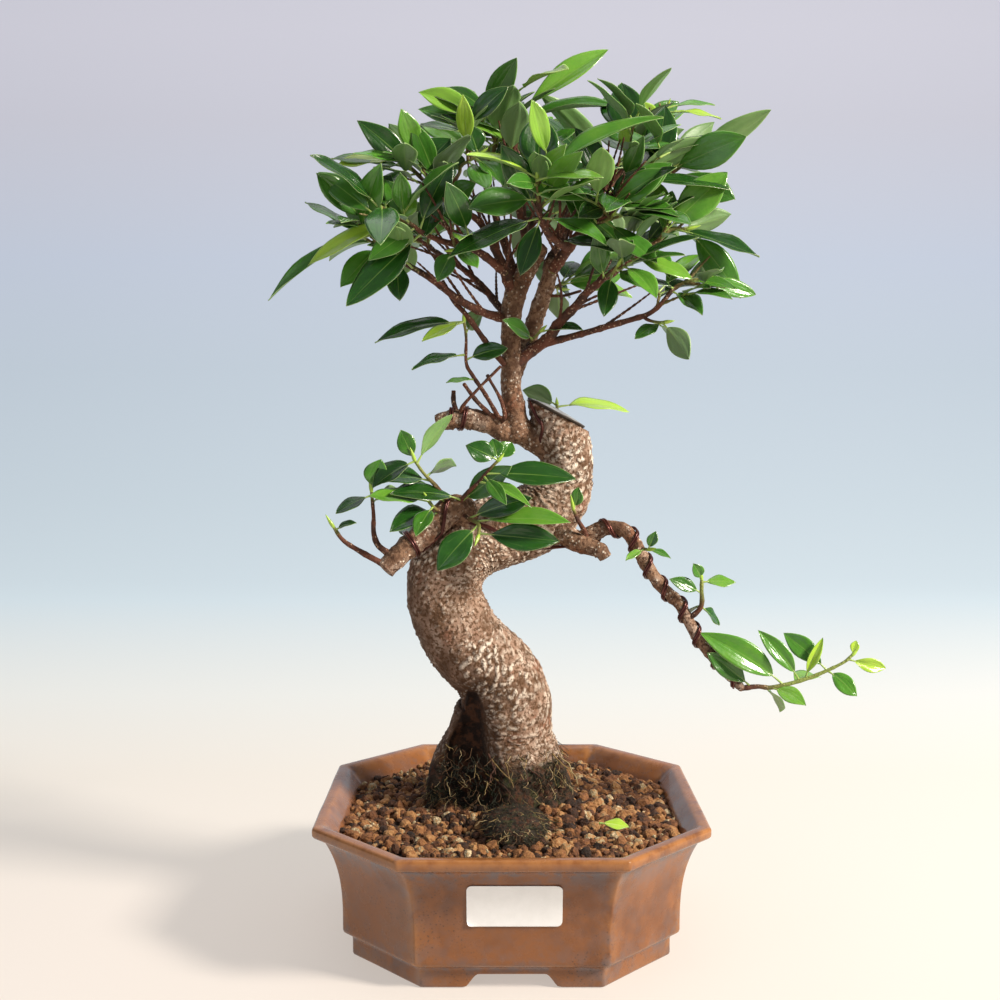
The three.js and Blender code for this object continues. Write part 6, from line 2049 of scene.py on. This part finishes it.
@dataclass
class Foliage:
    """Every branch, with its bark, its knots, its leaves and the sheathed bud at its tip."""

    blade: Blade = field(default_factory=Blade)
    bud_length: float = 6.5
    crown_sprigs: int = 5
    bare_twigs: int = 8
    crown_middle: tuple = (8, 2, 240)
    crown_top: float = 345.0
    crown_floor: float = 240.0
    crown_reach: float = 92.0
    twig_floor: float = 240.0
    twig_reach: float = 62.0
    knot_pitch: float = 9.0
    cut_names: tuple = ("branch_upper_left", "branch_stub_right", "twig_stub_upright", "twig_bare_left",
                        "branch_lower_left")
    fresh: tuple = ("cascade_end_shoot",)
    woody: tuple = ("low_left_end_twig", "right_twig_leaf", "left_hanging_leaf_spur")
    corky: tuple = ("branch_upper_left", "branch_lower_left", "crown_leader", "branch_cascade",
                    "branch_stub_right", "crown_second_stem")

    def wood(self, name: str, branch: Branch, draft: Draft) -> Route:
        """Grows the branch's wood.

        Args:
            name: Its node.
            branch: Its route and leaves.
            draft: What it is added to.

        Returns:
            Its centre line.
        """
        seed = sum(name.encode())
        draw = np.random.default_rng(seed)
        thick = max(row[3] for row in branch.route)
        route = Route(branch.foot + branch.route, 0.5 if thick > 3 else 0.6)
        sides = 48 if thick > 3.5 else 18
        plain = route.rings(sides).reshape(-1, 3)
        out = unit(plain - np.repeat(route.centres, sides, axis=0))
        radius = np.repeat(route.radii, sides)
        run = np.repeat(route.runs, sides)
        knots = np.arange(draw.uniform(2, 6), route.length, self.knot_pitch * draw.uniform(0.8, 1.2))
        collar = sum(np.exp(-((run - knot) / 1.1) ** 2) for knot in knots) if len(knots) else 0
        swell = radius * (0.13 * rough(plain, 6, seed, 3) + 0.05 * rough(plain, 1.6, seed + 9, 2))
        swell = swell + collar * np.minimum(0.14 * radius, 0.38)
        if name in self.corky:
            warts = smooth(noise(plain, 2.3, seed + 3), 0.25, 0.7)
            swell = swell + 0.4 * (warts * smooth(noise(plain, 9, seed + 4), -0.4, 0.3))
        rings = (plain + out * swell[:, None]).reshape(len(route.centres), sides, 3)
        points, faces = capped(rings, 0.12 if name in self.cut_names else 0.6)
        share = run / route.length
        green = smooth(share, 0.8, 1.0) * 0.6 if branch.leaves else 0 * share
        if not branch.leafy_from and len(branch.route) < 5 and branch.leaves and name not in self.woody:
            green = smooth(share, 0.3, 0.9) * 0.7
        if name in self.fresh:
            green = smooth(share, 0.1, 0.45) * 0.9
        extra = np.full(len(points) - len(plain), green[-1])
        draft.add(points, faces, green=np.concatenate([green, extra]))
        return route

    def bud(self, draft: Draft, route: Route, draw: np.random.Generator) -> None:
        """Adds the pointed bud at a shoot's tip.

        Args:
            draft: The leaves it goes with.
            route: The shoot's centre line.
            draw: The random source.
        """
        tip = route.centres[-1]
        lean = unit((route.alongs[-1] + draw.normal(0, 0.12, 3) + (0, 0, 0.25))[None])[0]
        length = self.bud_length * draw.uniform(0.7, 1.25)
        radii = (0.75, 0.95, 0.8, 0.5, 0.12)
        rows = tuple((*(tip + lean * length * k / 4 - lean * 0.5), r) for k, r in enumerate(radii))
        points, faces = capped(Route(rows, 0.8).rings(8))
        draft.add(points, faces, rib=9.0, edge=9.0, vein=0.0, below=0.2, tint=0.92, stalk=0.2)

    def sprigs(self, name: str, route: Route, wood: Draft, leaves: Draft) -> None:
        """Fills a crown limb out with fine twigs, most with a few leaves.

        Args:
            name: The limb's node.
            route: The limb's centre line.
            wood: What the twigs are added to.
            leaves: What the leaves are added to.
        """
        draw = np.random.default_rng(sum(name.encode()) + 501)
        leafy = self.crown_sprigs if name.startswith("limb_") else self.crown_sprigs // 2
        bare = self.bare_twigs if name.startswith("limb_") else 0
        for k in range(leafy + bare):
            dry = k >= leafy
            spot = route.at(draw.uniform(0.02, 0.5) if dry else draw.uniform(0.5, 1))
            out = unit(spot["centre"] - self.crown_middle)
            way = spot["along"] * 0.6 + out * 0.5 + np.array([0, 0, 0.5 if dry else 0.3])
            way = unit((way + draw.normal(0, 0.42, 3))[None])[0]
            length = draw.uniform(18, 42) if dry else draw.uniform(5, 17)
            bow = draw.normal(0, 0.12, 3)
            end = spot["centre"] + length * way
            if dry and (end[2] < self.twig_floor or abs(end[0] - self.crown_middle[0]) > self.twig_reach):
                continue
            radii = (0.75, 0.68, 0.6, 0.5, 0.38)
            rows = [
                (*(spot["centre"] + length * (way * s + bow * s * s)), r)
                for s, r in zip((0, 0.25, 0.5, 0.75, 1), radii)
            ]
            twig = Route(tuple(rows), 1.0)
            knots = 0.12 * np.sin(twig.runs * 2.1)[:, None]
            points, parts = capped(twig.rings(8, knots))
            wood.add(points, parts, green=0.0 if dry else 0.25)
            for share in () if dry else (0.45, 0.8, 1.0):
                lean = unit((way * 0.55 + out * 0.25 + draw.normal(0, 0.6, 3) * (1, 1, 0.5))[None])[0]
                size = draw.uniform(20, 38)
                bearing = math.degrees(math.atan2(lean[1], lean[0]))
                lift = min(max(math.degrees(math.asin(lean[2])), -35), 40)
                side = "v" if draw.random() < 0.25 else "u" if spot["centre"][1] < 25 else "a"
                hue = "dddmmmol" if spot["centre"][2] < 285 else "ddmmmoly"
                hue = hue[draw.integers(8)]
                row = (share, bearing, lift, size, size * draw.uniform(0.38, 0.5), side + hue)
                base = twig.at(share)["centre"]
                top = base[2] + size * math.sin(math.radians(lift))
                beyond = abs(base[0] + size * lean[0] - self.crown_middle[0])
                if top < self.crown_top and beyond < self.crown_reach:
                    self.blade.add_to(leaves, base, row, draw)

    def build(self, bark: Material, twig: Material, green: Material) -> None:
        """Makes every branch.

        Args:
            bark: The thick branches' bark.
            twig: The thin branches' bark.
            green: The leaves.
        """
        for name, branch in BRANCHES.items():
            wood = Draft()
            self.wood(name, branch, wood)
            finish = bark if name in self.corky else twig
            if not branch.leaves:
                place(wood, name + "_wood", Slot.BRANCH, finish, name)
                continue
            leaves = Draft()
            draw = np.random.default_rng(sum(name.encode()) + 77)
            leafy = Route(branch.route[branch.leafy_from:], 0.6)
            for row in branch.leaves:
                self.blade.add_to(leaves, leafy.at(row[0])["centre"], row, draw)
            if branch.route[-1][2] > self.crown_floor:
                self.sprigs(name, Route(branch.route, 1.0), wood, leaves)
            if max(row[0] for row in branch.leaves) >= 0.85:
                self.bud(leaves, leafy, draw)
            place(wood, name + "_wood", Slot.BRANCH, finish, name)
            place(leaves, name + "_leaves", Slot.LEAVES, green, name)


@dataclass
class FallenLeaf:
    """A small yellowed leaf on the soil."""

    base: tuple = (40, -43, -1)
    row: tuple = (0, -15, 2, 13, 8, "uy")

    def build(self, finish: Material) -> None:
        """Makes the leaf.

        Args:
            finish: Its colours.
        """
        draft = Draft()
        draw = np.random.default_rng(SEED + 5)
        Blade().add_to(draft, np.array(self.base) + (0, 0, 1.2), self.row, draw)
        place(draft, "fallen_leaf_blade", Slot.FALLEN, finish, "fallen_leaf")


@dataclass
class Wires:
    """Training wire, wound in four stretches: (what it winds round, from and to share, from and to angle)."""

    strand: float = 1.15
    standing: float = 0.3
    step: float = 12.0
    wraps: tuple = (
        ("wire_stub", (("branch_upper_left", 0.84, 0.6, 0, 600),)),
        ("wire_trunk", (("trunk", 0.975, 0.93, -48, -22), ("trunk", 0.9, 0.82, -50, -250))),
        ("wire_left", (
            ("branch_lower_left", 0.74, 0.66, -60, 300), ("branch_lower_left", 0.5, 0.3, 360, 450),
        )),
        ("wire_cascade", (("trunk", 0.6, 0.72, -20, 70), ("branch_cascade", 0.06, 0.97, 40, 2936))),
    )

    def build(self, trunk: Trunk, finish: Material) -> None:
        """Winds each stretch.

        Args:
            trunk: The trunk, which two of them wind round.
            finish: The wire.
        """
        for name, wraps in self.wraps:
            draft = Draft()
            for side in (-0.5, 0.5):
                draft.add(*capped(self.turns(wraps, trunk, side).rings(10), 0.5))
            place(draft, name + "_wound", Slot.WIRE, finish, name)

    def turns(self, wraps: tuple, trunk: Trunk, side: float) -> Route:
        """Follows one of the two strands that lie side by side.

        Args:
            wraps: The stretch's wraps.
            trunk: The trunk.
            side: Which strand, as a share of its thickness off the pair's middle.

        Returns:
            The strand's centre line.
        """
        rows = []
        for wound, start, stop, first, last in wraps:
            core = Route(trunk.rows if wound == "trunk" else BRANCHES[wound].route, 2.0)
            count = max(3, int(abs(last - first) / self.step))
            for k in range(count + 1):
                spot = core.at(start + (stop - start) * k / count)
                angle = math.radians(first + (last - first) * k / count)
                reach = spot["radius"] + self.strand / 2 + self.standing
                around = math.cos(angle) * spot["front"] + math.sin(angle) * spot["side"]
                beside = spot["along"] * side * self.strand
                rows.append((*(spot["centre"] + reach * around + beside), self.strand / 2))
        return Route(tuple(rows), 1.0)


# ------------ the studio
@dataclass
class Studio:
    """A pale sweep of paper, soft lamps and the camera."""

    eye: tuple = (-5.2, -598.1, 253.8)
    pitch: float = 4.49
    lens: float = 45.07
    sensor: float = 36.0
    key_power: float = 58.0
    fill_power: float = 2.4
    top_power: float = 4.6
    # How strongly the paper glows: painted light from a sheet that is no lamp.
    paper_glow: float = 0.66

    def camera(self) -> None:
        """Stands the camera before the pot."""
        data = bpy.data.cameras.new("camera")
        data.lens = self.lens
        data.sensor_width = self.sensor
        data.clip_start = 0.02
        data.clip_end = 40
        camera = bpy.data.objects.new("camera", data)
        table = np.array([DATUM.origin[0], DATUM.origin[1], 0])
        camera.location = table + np.array(self.eye) * MM
        camera.rotation_euler = (math.radians(90 - self.pitch), 0, 0)
        bpy.context.scene.collection.objects.link(camera)
        bpy.context.scene.camera = camera

    def sweep(self) -> None:
        """Lays the floor and the backdrop as one curved sheet."""
        wide, near, far, bend, high = 4.0, -3.0, 1.1, 0.9, 4.0
        rows = [(near, 0), (-1, 0), (0, 0), (far, 0)]
        turns = np.linspace(0.08, math.pi / 2, 20)
        rows += [(far + bend * math.sin(turn), bend * (1 - math.cos(turn))) for turn in turns]
        rows.append((far + bend, high))
        points = [(x, y, z) for y, z in rows for x in (-wide, wide)]
        mesh = bpy.data.meshes.new("paper_sweep")
        mesh.from_pydata(points, [], strip(len(rows), 2, closed=False)[:, ::-1].tolist())
        mesh.polygons.foreach_set("use_smooth", np.ones(len(mesh.polygons), dtype=bool))
        mesh.materials.append(self.paper())
        sweep = bpy.data.objects.new("paper_sweep", mesh)
        bpy.context.scene.collection.objects.link(sweep)

    def paper(self) -> Material:
        """Paper that glows with painted light: cream on the floor, cooling to pale blue-grey up the wall.

        Returns:
            Its material.
        """
        paint = Palette("backdrop_paper")
        parts = add(paint.tree, "SeparateXYZ", {0: paint.place})
        run = paint.maths("ADD", parts.outputs["Y"], parts.outputs["Z"])
        share = add(paint.tree, "MapRange", {"Value": run, "From Max": 3000.0}).outputs[0]
        stops = (
            (0.0, "#ddd4cb"), (0.08, "#dcd6cd"), (0.157, "#dbdcd8"), (0.33, "#cedbe1"), (0.53, "#c4d1da"),
            (0.7, "#becad6"), (0.82, "#bfc8d8"), (0.94, "#c5c6d2"), (1.0, "#cacad6"),
        )
        colour = add(paint.tree, "ValToRGB", {"Fac": share}, stops).outputs["Color"]
        # The paper reflects half its colour and glows with its full colour: painted light that washes out the
        # shadows cast on it.
        shaded = paint.mix(0.5, colour, "#000000")
        return paint.finish(
            Base_Color=shaded, Roughness=0.9, Specular_IOR_Level=0.1,
            Emission_Color=colour, Emission_Strength=self.paper_glow,
        )

    def lamp(self, name: str, where: tuple, size: float, power: float, tone: str) -> None:
        """Hangs one soft lamp that faces the plant.

        Args:
            name: Its name.
            where: Its place in metres about the pot.
            size: The side of its square.
            power: Its power in watts.
            tone: Its colour.
        """
        data = bpy.data.lights.new(name, "AREA")
        data.size = size
        data.energy = power
        data.color = linear(tone)[:3]
        lamp = bpy.data.objects.new(name, data)
        lamp.location = where
        aim = np.array([0, 0, 0.2]) - np.array(where)
        flat = math.hypot(aim[0], aim[1])
        lamp.rotation_euler = (math.atan2(flat, -aim[2]), 0, math.atan2(aim[1], aim[0]) - math.pi / 2)
        bpy.context.scene.collection.objects.link(lamp)

    def build(self) -> None:
        """Sets up the sweep, the lamps and the air."""
        self.sweep()
        self.lamp("key_softbox", (1.3, -0.62, 1.05), 0.32, self.key_power, "#fff6ea")
        self.lamp("fill_softbox", (-0.9, -1.0, 0.7), 0.9, self.fill_power, "#eaf0ff")
        self.lamp("top_softbox", (-0.1, 0.25, 1.5), 1.0, self.top_power, "#ffffff")
        world = bpy.data.worlds.new("studio_air")
        world.use_nodes = True
        air = world.node_tree.nodes["Background"]
        air.inputs["Color"].default_value = linear("#eef1f6")
        air.inputs["Strength"].default_value = 0.26
        bpy.context.scene.world = world
        bpy.context.scene.view_settings.view_transform = "Standard"


def main() -> None:
    """Builds the plant and its studio, piece by piece."""
    logging.basicConfig(level=logging.INFO, format="%(name)s %(message)s")
    studio = Studio()
    studio.camera()
    pot = Pot()
    trunk = Trunk()
    clay = AkadamaClay().build()
    bark = FicusBark().build()
    limb_bark = FicusBark(
        name="ficus_limb_bark", bark="#8a6a52", shade="#573c2b", cork_size=1.8, flecks=0.9,
    ).build()
    twig_bark = TwigBark().build()
    leaf = FicusLeaf().build()
    fallen = FicusLeaf(name="fallen_ficus_leaf", under="#c3c88a", rib="#c9cf86").build()
    pot.build(BrownGlaze().build())
    Label().build(pot, LabelPaper().build())
    Drainage().build(MouldedMesh().build())
    SoilBed().build(pot, clay)
    trunk.build(bark)
    SealedCut().build(CutPaste().build())
    MossyRoot().build(trunk, bark, RootFibre().build())
    Foliage().build(limb_bark, twig_bark, leaf)
    FallenLeaf().build(fallen)
    Wires().build(trunk, AnodisedWire().build())
    studio.build()


if __name__ == "__main__":
    main()
